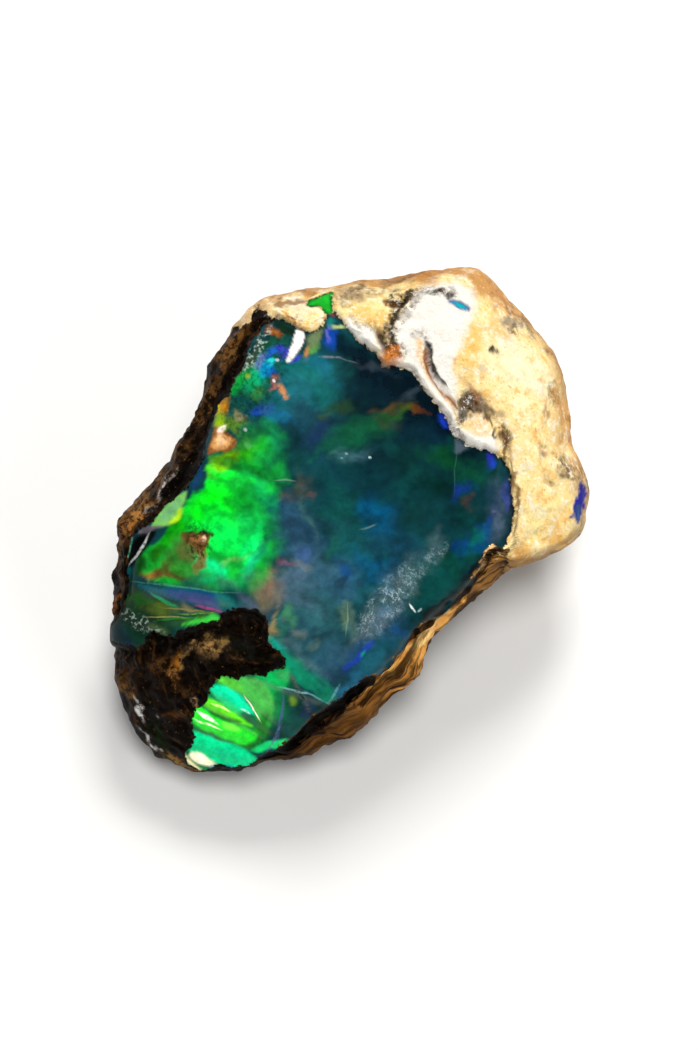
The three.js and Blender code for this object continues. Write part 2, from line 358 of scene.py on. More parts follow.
VEILS = [
    (-3.7, 5.9, 2.6, 0.7, 62, "#0a6a3a", 0.61, 0.92), (-3.0, 7.2, 0.9, 0.5, 30, "#0b5a36", 0.54, 0.92),
    (-6.0, 6.7, 0.9, 0.45, 30, "#304c0a", 0.45, 0.95), (-6.6, 5.7, 0.35, 0.2, 40, "#3a540e", 0.50, 0.92),
    (-3.6, 8.3, 0.5, 0.2, 50, "#86500f", 0.55, 0.9), (-2.9, 9.2, 0.6, 0.25, 60, "#74560c", 0.65, 0.82),
    (-2.3, 8.8, 0.9, 0.25, 45, "#2e6010", 0.6, 0.9), (-1.7, 9.8, 0.8, 0.25, 30, "#565c0e", 0.61, 0.82),
    (-0.8, 10.1, 0.6, 0.14, 15, "#743c0a", 0.6, 0.9), (-2.6, 8.0, 0.8, 0.25, 20, "#4a2c12", 0.43, 0.92),
    (2.6, 8.4, 1.3, 0.5, 25, "#0a5c22", 0.61, 1), (5.5, 8.7, 0.9, 0.9, 0, "#0a5632", 0.58, 1),
    (5.3, 6.9, 0.3, 0.9, 20, "#1836a4", 0.58, 0.82), (6.0, 7.9, 0.5, 0.4, 0, "#0a3e80", 0.54, 0.92),
    (6.4, 6.8, 0.35, 0.35, 0, "#6a4646", 0.43, 0.92), (7.8, 8.0, 0.9, 0.7, -50, "#304468", 0.4, 0.92),
    (8.2, 7.4, 0.2, 0.12, 0, "#8a80aa", 0.4, 0.82), (9.2, 6.6, 0.4, 0.9, 10, "#4a5c80", 0.4, 0.92),
    (8.6, 6.0, 0.35, 0.9, 15, "#0e3890", 0.61, 0.92), (8.4, 4.6, 0.4, 1.0, -10, "#08705e", 0.58, 0.92),
    (7.7, 4.0, 0.3, 0.8, 20, "#083a82", 0.54, 0.92), (6.4, 2.3, 0.4, 0.9, 25, "#48646a", 0.50, 0.92),
    (-4.9, 0.3, 0.8, 0.5, -50, "#5a5846", 0.47, 1),
    (-3.9, 0.0, 0.3, 0.3, 0, "#7a5a4a", 0.47, 0.92),
    (-5.2, -1.0, 0.35, 0.4, 0, "#6a644e", 0.43, 0.92), (-5.6, -2.3, 0.9, 0.7, 60, "#082c5c", 0.65, 0.92),
    (-6.3, -1.5, 0.6, 0.4, 50, "#06385e", 0.61, 0.92), (-3.0, -1.2, 1.2, 0.2, -35, "#4a7262", 0.36, 1),
    (0.1, -1.9, 0.5, 0.8, 0, "#1a6a46", 0.47, 1), (2.0, -3.1, 0.8, 0.3, -20, "#0c4684", 0.54, 0.92),
    (-1.8, -3.8, 0.6, 0.4, 0, "#38528a", 0.47, 0.92), (-2.3, -5.3, 0.55, 0.22, 20, "#8e5068", 0.61, 0.82),
    (-1.2, -4.6, 0.8, 0.25, 20, "#7a7c78", 0.36, 0.92), (-2.5, -6.9, 0.4, 0.7, 20, "#8c6054", 0.47, 0.92),
    (-0.55, -8.9, 1.0, 0.22, -60, "#a08c48", 0.5, 0.9),
    (-0.4, -9.8, 0.6, 0.2, -75, "#aa905a", 0.45, 0.9), (0.4, -7.9, 0.5, 0.3, -50, "#4a9450", 0.45, 0.95),
    (0.3, -8.9, 0.35, 1.0, 10, "#388c62", 0.35, 0.95), (1.4, -8.9, 0.7, 0.2, -40, "#8a8c76", 0.3, 0.95),
    (3.0, -9.0, 0.25, 0.5, 0, "#6a7c5c", 0.3, 0.95), (4.2, -6.2, 0.8, 0.22, -55, "#6c8454", 0.5, 0.95),
    (3.6, -5.5, 0.3, 0.4, 0, "#5a7c6a", 0.47, 0.92), (5.9, -7.5, 0.35, 0.9, 0, "#1a427a", 0.54, 0.92),
    (8.55, -5.9, 0.22, 0.6, 0, "#087aa8", 0.61, 0.82), (7.7, -4.5, 0.4, 0.3, 0, "#1246a6", 0.3, 0.92),
    (3.2, -10.3, 2.2, 0.3, -4, "#5a7676", 0.36, 1),
]
# Harder edged shards of colour, most of them in the cluster at the upper left, and one painted shadow under
# the matrix knob.
SHARDS_AND_KNOB_SHADOW = [
    (1.2, 10.6, 0.6, 0.3, -20, "#1232a0", 0.9, 0.5), (5.6, 10.5, 0.3, 0.6, 25, "#1c2284", 0.95, 0.5),
    (6.0, 10.0, 0.25, 0.3, 0, "#12368c", 0.8, 0.5), (8.2, 9.2, 0.9, 0.35, -48, "#162660", 0.8, 0.6),
    (8.8, 8.2, 0.8, 0.16, -45, "#1a2478", 0.9, 0.4), (6.4, -7.9, 0.24, 1.2, -8, "#1a2e94", 0.9, 0.6),
    (6.6, -7.3, 0.16, 0.25, 0, "#0e845a", 0.85, 0.4), (3.2, -11.4, 3.4, 0.55, -2, "#0c7656", 0.97, 0.6),
    (0.8, -10.8, 1.1, 0.35, -5, "#0e8a78", 0.8, 0.8), (-0.4, -10.8, 0.5, 0.14, 45, "#4ab482", 0.92, 0.4),
    # The near-black one at -12.6, 9.3 is painted shadow under the knob of matrix above it.
    (-13.6, 6.6, 0.45, 1.9, 4, "#34463a", 0.95, 0.4), (-12.6, 9.3, 0.9, 0.45, 0, "#0c2014", 0.95, 0.5),
    (-13.3, 8.6, 0.5, 0.35, 0, "#8a4c1c", 0.9, 0.6), (-12.2, 7.6, 0.5, 0.6, 0, "#2a2aa0", 0.97, 0.5),
    (-12.6, 6.9, 0.3, 0.5, 0, "#164ea0", 0.9, 0.5), (-11.6, 7.4, 0.3, 0.7, 0, "#383a9c", 0.9, 0.5),
    (-10.7, 7.8, 0.26, 0.6, -10, "#2a2e9c", 0.95, 0.5), (-11.9, 6.0, 0.45, 0.5, 0, "#0644aa", 0.95, 0.5),
    (-12.1, 6.4, 0.26, 0.3, 0, "#26c8bc", 0.97, 0.4), (-12.1, 5.4, 0.45, 0.8, 0, "#0878a2", 0.92, 0.5),
    (-12.8, 6.1, 0.25, 0.7, 15, "#586a98", 0.75, 0.5), (-12.3, 4.4, 0.7, 0.9, 10, "#088e4e", 0.92, 0.5),
    (-13.2, 4.0, 0.35, 0.9, 0, "#0a8630", 0.92, 0.5), (-11.5, 3.9, 0.5, 0.7, 0, "#2a6c2e", 0.85, 0.6),
    (-12.8, 4.7, 0.2, 0.2, 0, "#8a8c1e", 0.85, 0.5), (-12.0, 3.0, 0.8, 0.35, 0, "#06383a", 0.85, 0.6),
    (-10.9, 2.9, 0.5, 0.4, 20, "#123a8c", 0.92, 0.5), (-10.3, 3.4, 0.5, 0.4, 30, "#1a4270", 0.85, 0.6),
    (-10.8, 4.3, 0.5, 0.6, 0, "#0a463e", 0.85, 0.6), (-13.0, 1.7, 0.4, 0.8, 15, "#a4700a", 0.97, 0.5),
    (-13.3, 1.3, 0.2, 0.4, 0, "#aca40a", 0.92, 0.5), (-12.5, 0.6, 0.5, 0.5, 30, "#88ac0a", 0.97, 0.5),
    (-11.7, 0.9, 0.9, 0.5, 20, "#4c721e", 0.88, 0.6), (-11.6, 1.8, 0.4, 0.3, 0, "#8a8054", 0.65, 0.6),
    (-10.4, 9.7, 0.4, 1.4, 12, "#5a6a46", 0.85, 0.6), (-10.4, 8.7, 0.2, 0.5, 0, "#b47c3c", 0.75, 0.6),
    (-9.9, 9.3, 0.25, 0.5, 0, "#4a863c", 0.75, 0.6), (-9.5, 10.8, 0.4, 0.8, 30, "#0a3a90", 0.9, 0.5),
    (-9.9, 11.0, 0.12, 0.7, 35, "#585aac", 0.75, 0.5), (-10.3, 11.6, 0.3, 0.4, 0, "#0e605a", 0.85, 0.5),
    (-9.6, 11.8, 0.4, 0.2, 35, "#a2b26c", 0.85, 0.5), (-7.8, -13.6, 1.2, 0.5, 30, "#485a1c", 0.85, 0.6),
    (-6.3, -12.4, 0.7, 0.3, 20, "#6c6a44", 0.85, 0.5), (-9.6, -13.9, 0.8, 0.5, 20, "#1c501a", 0.85, 0.6),
    (-5.5, -13.0, 1.4, 0.4, 42, "#24481a", 0.9, 0.5),
    (-8.6, -16.2, 1.6, 0.6, -8, "#072a1e", 0.9, 0.6), (-9.3, -17.2, 0.9, 0.8, 0, "#041c22", 0.95, 0.5),
    (-8.2, -17.4, 0.7, 0.24, -12, "#1c1c46", 0.92, 0.5), (-7.2, -15.1, 0.8, 0.3, 15, "#38502c", 0.8, 0.6),
]
# The outline of the green flash on the left.
GREEN_FLASH = [
    (-11.8, -2.9), (-11.4, -1.7), (-10.9, -0.9), (-10.5, 0.2), (-10.2, 1.2), (-9.6, 1.9), (-8.6, 2.3),
    (-7.7, 1.9), (-7.2, 1.0), (-6.8, 0.0), (-6.3, -0.9), (-6.0, -1.8), (-5.4, -2.9), (-4.4, -3.7),
    (-3.7, -4.6), (-3.3, -5.8), (-3.4, -7.2), (-3.9, -8.4), (-4.9, -9.4), (-6.2, -10.1), (-7.8, -11.1),
    (-9.2, -12.1), (-10.4, -13.0), (-11.2, -12.8), (-11.5, -11.6), (-11.5, -10.2), (-11.3, -9.0),
    (-11.0, -7.8), (-11.0, -6.6), (-11.2, -5.4), (-11.1, -4.4), (-11.5, -3.6),
]
FLASH_FIRE = [
    (-10.5, -1.2, 2.0, 0.7, 72, "#74bc04", 0.97, 0.6), (-9.9, 0.3, 0.9, 0.9, 60, "#2cac08", 0.95, 0.6),
    (-8.9, 1.3, 1.0, 0.9, 0, "#0c9424", 0.92, 0.6), (-8.4, 1.9, 0.9, 0.5, 0, "#0aac54", 0.9, 0.6),
    (-7.7, -0.1, 0.9, 1.5, 0, "#0a6c3e", 0.92, 0.7), (-8.9, -1.4, 2.0, 0.4, 14, "#087020", 0.95, 0.6),
    (-7.0, -2.2, 1.3, 0.8, 0, "#0a9c48", 0.9, 0.7), (-7.6, -3.3, 1.4, 0.4, 0, "#08942c", 0.9, 0.6),
    (-9.7, -2.5, 1.4, 0.3, 24, "#10f838", 0.97, 0.5), (-9.5, -4.9, 1.6, 1.7, 0, "#04ee10", 0.97, 0.6),
    (-7.3, -5.7, 2.0, 1.2, 0, "#06ec50", 0.97, 0.6), (-5.6, -4.3, 1.2, 0.9, 0, "#0cb84c", 0.88, 0.7),
    (-5.2, -5.9, 0.5, 1.6, 8, "#08ee68", 0.92, 0.6), (-4.3, -5.2, 0.5, 0.9, 0, "#18a066", 0.85, 0.7),
    (-4.1, -7.0, 0.5, 1.2, 0, "#12b474", 0.9, 0.7), (-5.6, -7.4, 1.2, 0.24, 56, "#60c45c", 0.8, 0.6),
    (-6.6, -8.6, 1.2, 0.7, 0, "#0ce084", 0.92, 0.6), (-6.3, -9.5, 1.4, 0.5, 25, "#18cc6c", 0.9, 0.6),
    (-5.0, -8.9, 0.8, 0.4, 20, "#3c9c64", 0.8, 0.6), (-10.8, -8.5, 0.7, 1.3, 0, "#089c08", 0.97, 0.5),
    (-9.3, -9.2, 1.2, 0.9, 0, "#2e7026", 0.92, 0.6), (-8.5, -8.7, 0.6, 0.4, 0, "#34803a", 0.85, 0.6),
    (-8.3, -10.4, 1.4, 0.5, 30, "#308428", 0.9, 0.6), (-10.6, -10.4, 0.6, 1.0, 10, "#1e6c0a", 0.92, 0.6),
    (-9.4, -10.9, 0.5, 1.1, -20, "#4c5420", 0.9, 0.6), (-9.9, -11.9, 1.3, 0.4, 35, "#80582a", 0.92, 0.6),
    (-8.8, -11.1, 1.0, 0.25, 32, "#5c5426", 0.8, 0.6), (-11.1, -12.0, 0.5, 0.9, 10, "#0e3c12", 0.95, 0.5),
    (-6.6, -10.35, 1.6, 0.2, 26, "#50b04c", 0.8, 0.6), (-9.6, 0.4, 0.3, 0.2, 0, "#60b060", 0.6, 0.6),
]
# Sharper shapes: colour, strength, softness in mm, outline.
PATCHES = [
    ("#06505c", 1.0, 0.12, [(-10.4, -13.3), (-9.3, -12.5), (-8.2, -11.9), (-7.0, -11.1), (-5.8, -10.4),
                            (-4.8, -10.0), (-3.6, -9.9), (-3.2, -10.3), (-4.0, -11.1), (-5.0, -11.45),
                            (-6.2, -11.9), (-7.2, -12.3), (-8.4, -12.8), (-9.4, -13.2)]),
    ("#123c7a", 0.95, 0.4, [(-8.4, -12.2), (-7.0, -11.3), (-5.6, -10.5), (-4.7, -10.3), (-4.6, -10.9),
                            (-5.4, -11.2), (-6.6, -11.7), (-7.8, -12.3)]),
    ("#30286c", 0.7, 0.3, [(-7.6, -12.1), (-6.4, -11.3), (-5.4, -10.9), (-5.6, -11.4), (-6.8, -12.0)]),
    ("#5a4c84", 0.5, 0.2, [(-6.6, -11.8), (-5.2, -11.1), (-4.2, -10.9), (-4.4, -11.3), (-5.4, -11.6)]),
    ("#1a6c5c", 0.8, 0.3, [(-5.2, -10.3), (-4.4, -10.0), (-3.6, -10.0), (-3.4, -10.3), (-4.4, -10.8)]),
    ("#38b83c", 0.95, 0.14, [(-4.5, -11.7), (-4.0, -11.5), (-3.7, -11.9), (-4.1, -12.2), (-4.6, -12.6),
                             (-5.4, -13.3), (-5.9, -13.7), (-5.5, -13.0), (-4.8, -12.2)]),
    ("#0ca850", 1.0, 0.16, [(1.1, -13.2), (1.9, -12.3), (2.2, -11.6), (2.9, -11.8), (3.3, -12.7),
                            (3.0, -13.5), (2.6, -14.2), (1.2, -14.0)]),
    ("#46b44a", 1.0, 0.2, [(-1.4, -15.4), (-0.4, -14.7), (0.8, -13.8), (2.0, -13.7), (3.0, -14.2),
                           (3.8, -15.4), (4.2, -16.8), (3.8, -18.2), (2.8, -18.9), (3.2, -17.2),
                           (3.0, -16.3), (2.2, -15.7), (1.2, -15.4), (-0.2, -15.4)]),
    ("#54c832", 0.9, 0.25, [(-1.5, -15.5), (-0.5, -14.8), (0.6, -14.9), (0.8, -15.3), (-0.4, -15.5)]),
    ("#166a20", 0.95, 0.35, [(3.3, -15.3), (4.1, -16.0), (4.4, -17.2), (4.0, -18.5), (3.0, -18.8),
                             (3.0, -17.4)]),
    ("#08d698", 1.0, 0.12, [(-1.4, -16.3), (-1.0, -15.8), (0.1, -15.5), (1.4, -15.55), (2.4, -15.95),
                            (2.9, -16.4), (2.2, -16.75), (0.9, -16.8), (-0.5, -16.7)]),
    ("#0cd070", 0.85, 0.2, [(-0.6, -16.7), (0.6, -16.3), (1.8, -16.4), (2.4, -16.7), (1.2, -16.9)]),
    # Painted shade below the cyan lens.
    ("#10703c", 0.85, 0.15, [(1.9, -16.5), (2.9, -16.2), (3.2, -16.7), (2.5, -16.9)]),
    ("#56d41e", 1.0, 0.15, [(-1.0, -17.1), (0.4, -16.85), (2.0, -16.8), (3.0, -16.8), (2.8, -17.1),
                            (1.4, -17.5), (0.0, -17.75), (-1.0, -17.7)]),
    ("#26dc30", 1.0, 0.15, [(-1.2, -18.0), (0.2, -17.95), (1.6, -17.6), (3.0, -17.2), (3.7, -17.4),
                            (3.5, -18.4), (2.4, -18.8), (0.8, -19.2), (-0.6, -19.4), (-1.3, -18.9)]),
    ("#84ec4c", 0.7, 0.2, [(1.0, -18.0), (1.9, -17.6), (2.4, -17.7), (1.6, -18.2)]),
    # The next three dark ones are painted shade in the grooves between the ridges of the shell-shaped break.
    ("#1c6a20", 0.8, 0.1, [(-0.4, -17.75), (0.8, -17.5), (2.2, -17.05), (1.2, -17.75), (0.2, -18.0)]),
    ("#0e5c34", 0.85, 0.12, [(1.6, -16.55), (2.6, -16.1), (3.3, -16.5), (3.0, -16.85), (2.2, -16.85)]),
    ("#3c6c4c", 0.8, 0.15, [(-0.6, -19.8), (0.8, -19.3), (2.4, -18.9), (2.3, -19.1), (0.6, -19.6)]),
    ("#08d086", 1.0, 0.14, [(-0.4, -19.9), (1.2, -19.4), (2.6, -18.9), (4.0, -18.7), (5.1, -18.8),
                            (4.9, -19.5), (4.0, -20.2), (2.8, -20.8), (1.5, -21.0), (0.3, -21.4),
                            (0.0, -20.6)]),
    ("#0ac284", 0.7, 0.35, [(1.6, -20.0), (3.0, -19.4), (4.4, -19.1), (4.0, -19.9), (2.6, -20.5)]),
    # The next two near-white ones are painted highlights on the ridges of the shell-shaped break.
    ("#fffbd4", 1.0, 0.14, [(0.4, -21.4), (1.0, -21.0), (2.2, -20.95), (2.2, -21.35), (1.4, -21.7),
                            (0.6, -21.7)]),
    ("#fff6be", 0.95, 0.14, [(-0.1, -21.8), (0.8, -21.9), (1.9, -22.0), (1.4, -22.25), (0.4, -22.1)]),
    ("#2a76cc", 0.95, 0.12, [(2.3, -21.4), (2.8, -20.95), (3.6, -20.5), (4.3, -20.2), (3.9, -20.6),
                             (2.9, -21.3)]),
    ("#12cc6c", 1.0, 0.12, [(5.7, -16.1), (5.7, -17.1), (5.1, -17.5), (4.7, -18.2), (4.1, -18.4),
                            (4.5, -17.4), (5.1, -16.7)]),
    ("#1a2c4c", 0.7, 0.35, [(5.2, -12.9), (6.0, -12.8), (6.0, -14.0), (5.4, -14.0)]),
    ("#6c9026", 0.85, 0.2, [(4.0, -13.2), (4.4, -13.1), (4.7, -13.5), (4.4, -13.7)]),
    ("#128c1e", 1.0, 0.12, [(-13.4, 11.2), (-12.8, 13.0), (-11.6, 14.3), (-10.8, 13.2), (-10.5, 12.4),
                            (-11.0, 12.0), (-12.0, 11.8)]),
    ("#6c2634", 0.85, 0.15, [(-10.6, 12.1), (-9.9, 12.4), (-9.2, 12.6), (-9.8, 12.6), (-10.4, 12.4)]),
    ("#6cac50", 0.95, 0.12, [(-11.6, -5.3), (-11.2, -6.2), (-10.9, -7.3), (-11.4, -8.3), (-12.2, -8.9),
                             (-12.3, -7.8), (-12.1, -6.4)]),
    ("#5a8c68", 0.7, 0.3, [(-12.0, -6.6), (-11.6, -6.0), (-11.3, -6.8), (-11.6, -8.0), (-12.1, -8.0)]),
    ("#a4cc14", 0.85, 0.12, [(-11.3, -6.6), (-11.0, -6.6), (-10.8, -7.4), (-11.3, -8.1), (-11.2, -7.4)]),
    ("#14305c", 0.8, 0.12, [(-11.9, -3.0), (-11.5, -3.3), (-11.2, -4.4), (-11.3, -5.0), (-11.6, -4.2)]),
    # Painted shade in the inner gap beside the left rim.
    ("#030505", 1.0, 0.15, [(-12.0, -9.0), (-11.6, -9.3), (-11.5, -10.4), (-11.5, -11.6), (-11.7, -12.4),
                            (-12.3, -12.0), (-12.6, -10.8), (-12.5, -9.8)]),
    ("#5c545c", 0.85, 0.12, [(-11.5, -8.4), (-12.3, -9.0), (-12.8, -9.8), (-12.5, -9.9), (-12.0, -9.2)]),
    # A painted highlight: the white glare wedge at the window's upper left.
    ("#f8f4ea", 1.0, 0.1, [(-12.0, 9.9), (-11.4, 9.8), (-11.1, 9.2), (-11.0, 8.4), (-11.0, 7.5),
                           (-11.2, 7.2), (-11.4, 7.8), (-11.6, 8.5), (-11.9, 9.2)]),
    ("#46525c", 0.8, 0.12, [(2.1, 10.7), (2.7, 9.9), (3.3, 9.1), (3.9, 10.0), (4.2, 10.6), (3.2, 10.7)]),
]

# Specks of ironstone and clay shut in the opal, with ragged edges.
INCLUSIONS_AND_HIGHLIGHT = [
    ("#7c4c22", 1.0, 0.1, [(-12.6, 0.1), (-11.9, 0.1), (-11.1, 0.1), (-10.6, -0.2), (-10.8, -0.8),
                           (-11.3, -1.3), (-11.8, -1.9), (-12.1, -1.7), (-12.4, -0.9)]),
    ("#c08c52", 0.95, 0.16, [(-12.3, -0.1), (-11.8, 0.0), (-11.1, -0.2), (-11.1, -0.7), (-11.6, -1.3),
                             (-12.0, -1.5), (-12.2, -0.9)]),
    # A painted highlight on the first speck.
    ("#e4b888", 0.85, 0.16, [(-12.1, -0.3), (-11.6, -0.2), (-11.3, -0.5), (-11.8, -0.8)]),
    ("#f0dcc8", 1.0, 0.1, [(-12.4, 0.1), (-12.2, 0.4), (-11.9, 0.4), (-11.8, 0.1), (-12.1, -0.1)]),
    ("#5c3c1e", 0.97, 0.1, [(-9.9, -8.0), (-9.4, -7.5), (-8.9, -7.0), (-8.3, -6.8), (-8.0, -7.2),
                            (-7.8, -8.1), (-8.3, -8.6), (-8.9, -8.3), (-9.5, -8.3)]),
    ("#8a5c34", 0.9, 0.1, [(-9.2, -7.7), (-8.7, -7.3), (-8.3, -7.4), (-8.5, -7.9), (-8.9, -7.9)]),
    ("#1c120a", 0.95, 0.1, [(-9.9, -7.9), (-9.3, -7.3), (-8.7, -6.8), (-8.2, -6.6), (-7.9, -7.0),
                            (-8.3, -6.95), (-8.9, -7.15), (-9.4, -7.6)]),
    ("#4a5226", 0.85, 0.3, [(-9.6, -8.3), (-8.8, -8.3), (-8.2, -8.6), (-8.0, -9.4), (-8.8, -9.6),
                            (-9.6, -9.2)]),
    ("#6c4420", 0.85, 0.2, [(-8.4, -8.1), (-7.8, -8.2), (-7.2, -8.6), (-7.0, -9.2), (-7.3, -9.9),
                            (-7.7, -9.5), (-8.0, -8.9)]),
    ("#dcb894", 0.9, 0.08, [(-8.6, -7.2), (-8.4, -7.1), (-8.3, -7.4), (-8.5, -7.5)]),
    ("#85524a", 0.9, 0.12, [(-11.5, 5.9), (-11.0, 5.9), (-10.6, 5.3), (-10.6, 4.9), (-11.1, 4.7),
                            (-11.2, 5.2)]),
    ("#c07c44", 0.9, 0.12, [(-10.6, 5.6), (-10.1, 5.4), (-9.6, 5.1), (-9.8, 4.95), (-10.4, 5.1)]),
]
# Scratches on the polish: a pale haze down the right-hand side and two short scuffs beside it, a few faint
# lines, and painted shade in dark strips along the window's right-hand and upper right edges.
SCUFFS_AND_EDGE_SHADE = [
    (5.8, -2.6, 3.4, 0.9, 88, "#6e8288", 0.1, 0.9), (5.6, -1.0, 1.4, 0.7, 80, "#94a0a4", 0.08, 0.9),
    (5.9, -4.8, 1.4, 0.7, 80, "#a4acac", 0.1, 0.9), (4.4, -5.9, 1.3, 0.3, -50, "#7c8a74", 0.16, 0.9),
    (8.2, 8.0, 2.0, 0.5, -62, "#5c6c80", 0.16, 0.9), (9.1, 6.5, 1.1, 0.35, -70, "#6c7890", 0.16, 0.9),
    (-3.2, 4.2, 1.2, 0.4, 40, "#4a7480", 0.35, 0.9), (-5.4, 10.7, 1.4, 0.15, 12, "#3a4854", 0.3, 0.9),
    (-1.9, 11.2, 0.9, 0.25, 60, "#3c4c54", 0.35, 0.9), (6.4, 2.4, 0.4, 0.9, 10, "#5c7880", 0.14, 0.9),
    # The last four, near black, are painted shade along the window's edge beside the rock.
    (9.75, 2.6, 1.9, 0.42, 95, "#030c0e", 0.95, 0.5), (9.3, -1.2, 1.3, 0.36, 74, "#050e10", 0.9, 0.6),
    (9.1, 8.2, 1.3, 0.2, -52, "#10121c", 0.85, 0.6), (7.3, 10.4, 1.2, 0.25, -38, "#081010", 0.9, 0.6),
]
FLASH_HEART = (-8.5, -7.0)       # the shell-shaped ripples in the green flash run round this place

# The opal's colours are laid in the order in which they lie, from the deepest to the polish.
fire = np.tile(np.array(tint("#0a363c")), (point_count, 1))
lay_flashes(fire, stirred(2.4, 0.8, 11), DEEP_FIRE, 0.4)
smoke = cloud(*stirred(1.6, 0.8, 41), 1.5, 5, 21)
fire += (np.array(tint("#0b5650")) - fire) * (0.36 * ease(smoke, 0.0, 1.2))[:, None]
fire += (np.array(tint("#03141f")) - fire) * (0.45 * ease(-smoke, 0.0, 1.2))[:, None]
lay_flashes(fire, stirred(1.1, 0.45, 13), VEILS, 0.5)
wisps = cloud(0.35 * (x + y) + 0.3 * smoke, y - x, 0.8, 4, 43)
deeper = np.maximum(ease(y - 0.3 * x, -3, 4), ease(x, 5.5, 7.5)) * ease(x, -9.5, -6.0)
fire *= (mix(0.88, 0.56, deeper) * (1 + 0.14 * wisps))[:, None]
lay_flashes(fire, stirred(1.0, 0.22, 25), SHARDS_AND_KNOB_SHADOW, 0.4)
lay_flashes(fire, stirred(0.8, 0.3, 27), SCUFFS_AND_EDGE_SHADE, 0.6)
flash = np.tile(np.array(tint("#10b434")), (point_count, 1))
lay_flashes(flash, stirred(1.3, 0.35, 15), FLASH_FIRE, 0.35)
flash_reach = np.hypot(x - FLASH_HEART[0], y - FLASH_HEART[1])
flash_turn = np.arctan2(y - FLASH_HEART[1], x - FLASH_HEART[0])
ripples = cloud(1.6 * flash_turn + 9, flash_reach + 0.4 * smoke, 0.55, 4, 23)
rays = cloud(7 * flash_turn + 0.5 * smoke, 0.3 * flash_reach, 0.6, 4, 53) * ease(flash_reach, 1.5, 4.0)
flash *= (0.72 * (1 + 0.36 * ripples + 0.2 * rays))[:, None]
flash_depth = inside_by(GREEN_FLASH, *stirred(1.4, 0.5, 17))
fading = mix(0.2, 1.1, np.maximum(ease(x, -10.0, -6.5), ease(y - 0.5 * x, 3.6, 5.6)))
fire += (flash - fire) * ease(flash_depth, -fading, fading)[:, None]
lay_patches(fire, stirred(0.9, 0.07, 19), PATCHES)
lay_patches(fire, stirred(0.5, 0.16, 47), INCLUSIONS_AND_HIGHLIGHT)
fire = np.clip(fire, 0, 1)


def put(tree, kind, choices=None, feeds=None):
    """Adds one shader node; feeds go to its inputs by name or number, as a value or a link."""
    node = tree.nodes.new(kind)
    for name, value in (choices or {}).items():
        setattr(node, name, value)
    for name, value in (feeds or {}).items():
        if isinstance(value, bpy.types.NodeSocket):
            tree.links.new(value, node.inputs[name])
        else:
            node.inputs[name].default_value = value
    return node


def lay_over(tree, share, under, over):
    """One colour laid over another by a share from 0 to 1."""
    feeds = {0: share, 6: tint(under) if isinstance(under, str) else under,
             7: tint(over) if isinstance(over, str) else over}
    return put(tree, "ShaderNodeMix", {"data_type": "RGBA"}, feeds).outputs[2]


def between(tree, value, low, high, lowest=0.0, highest=1.0):
    """Climbs smoothly from lowest to highest as a value goes from low to high."""
    feeds = {"Value": value, "From Min": low, "From Max": high, "To Min": lowest, "To Max": highest}
    return put(tree, "ShaderNodeMapRange", {"interpolation_type": "SMOOTHSTEP"}, feeds).outputs["Result"]


def sums(tree, operation, *values):
    """A number worked out from others."""
    return put(tree, "ShaderNodeMath", {"operation": operation}, dict(enumerate(values))).outputs[0]


def moved(tree, operation, *places):
    """A vector worked out from others, such as a place shifted by a swirl."""
    return put(tree, "ShaderNodeVectorMath", {"operation": operation}, dict(enumerate(places))).outputs[0]


def grain(tree, place, size, detail=4.0, rough_share=0.55):
    """Cloudy variation with lumps of the given size in mm; gives its value and its colour."""
    made = put(tree, "ShaderNodeTexNoise", None, {
        "Vector": place, "Scale": 1 / size, "Detail": detail, "Roughness": rough_share})
    return made.outputs["Fac"], made.outputs["Color"]


def spot(tree, place, px, py, half_long, half_wide, turn, strength=1.0, softness=0.5):
    """Share of an oval spot on the face, 1 inside it and 0 outside; places have 1 as third value."""
    cosine, sine = math.cos(math.radians(turn)), math.sin(math.radians(turn))
    long_way = np.array([cosine, sine, -cosine * px - sine * py]) / half_long
    wide_way = np.array([-sine, cosine, sine * px - cosine * py]) / half_wide
    along, across = (
        put(tree, "ShaderNodeVectorMath", {"operation": "DOT_PRODUCT"}, {0: place, 1: way}).outputs["Value"]
        for way in (long_way, wide_way)
    )
    far = sums(tree, "MULTIPLY_ADD", across, across, sums(tree, "MULTIPLY", along, along))
    return between(tree, far, (1 + softness) ** 2, (1 - softness) ** 2, 0.0, strength)
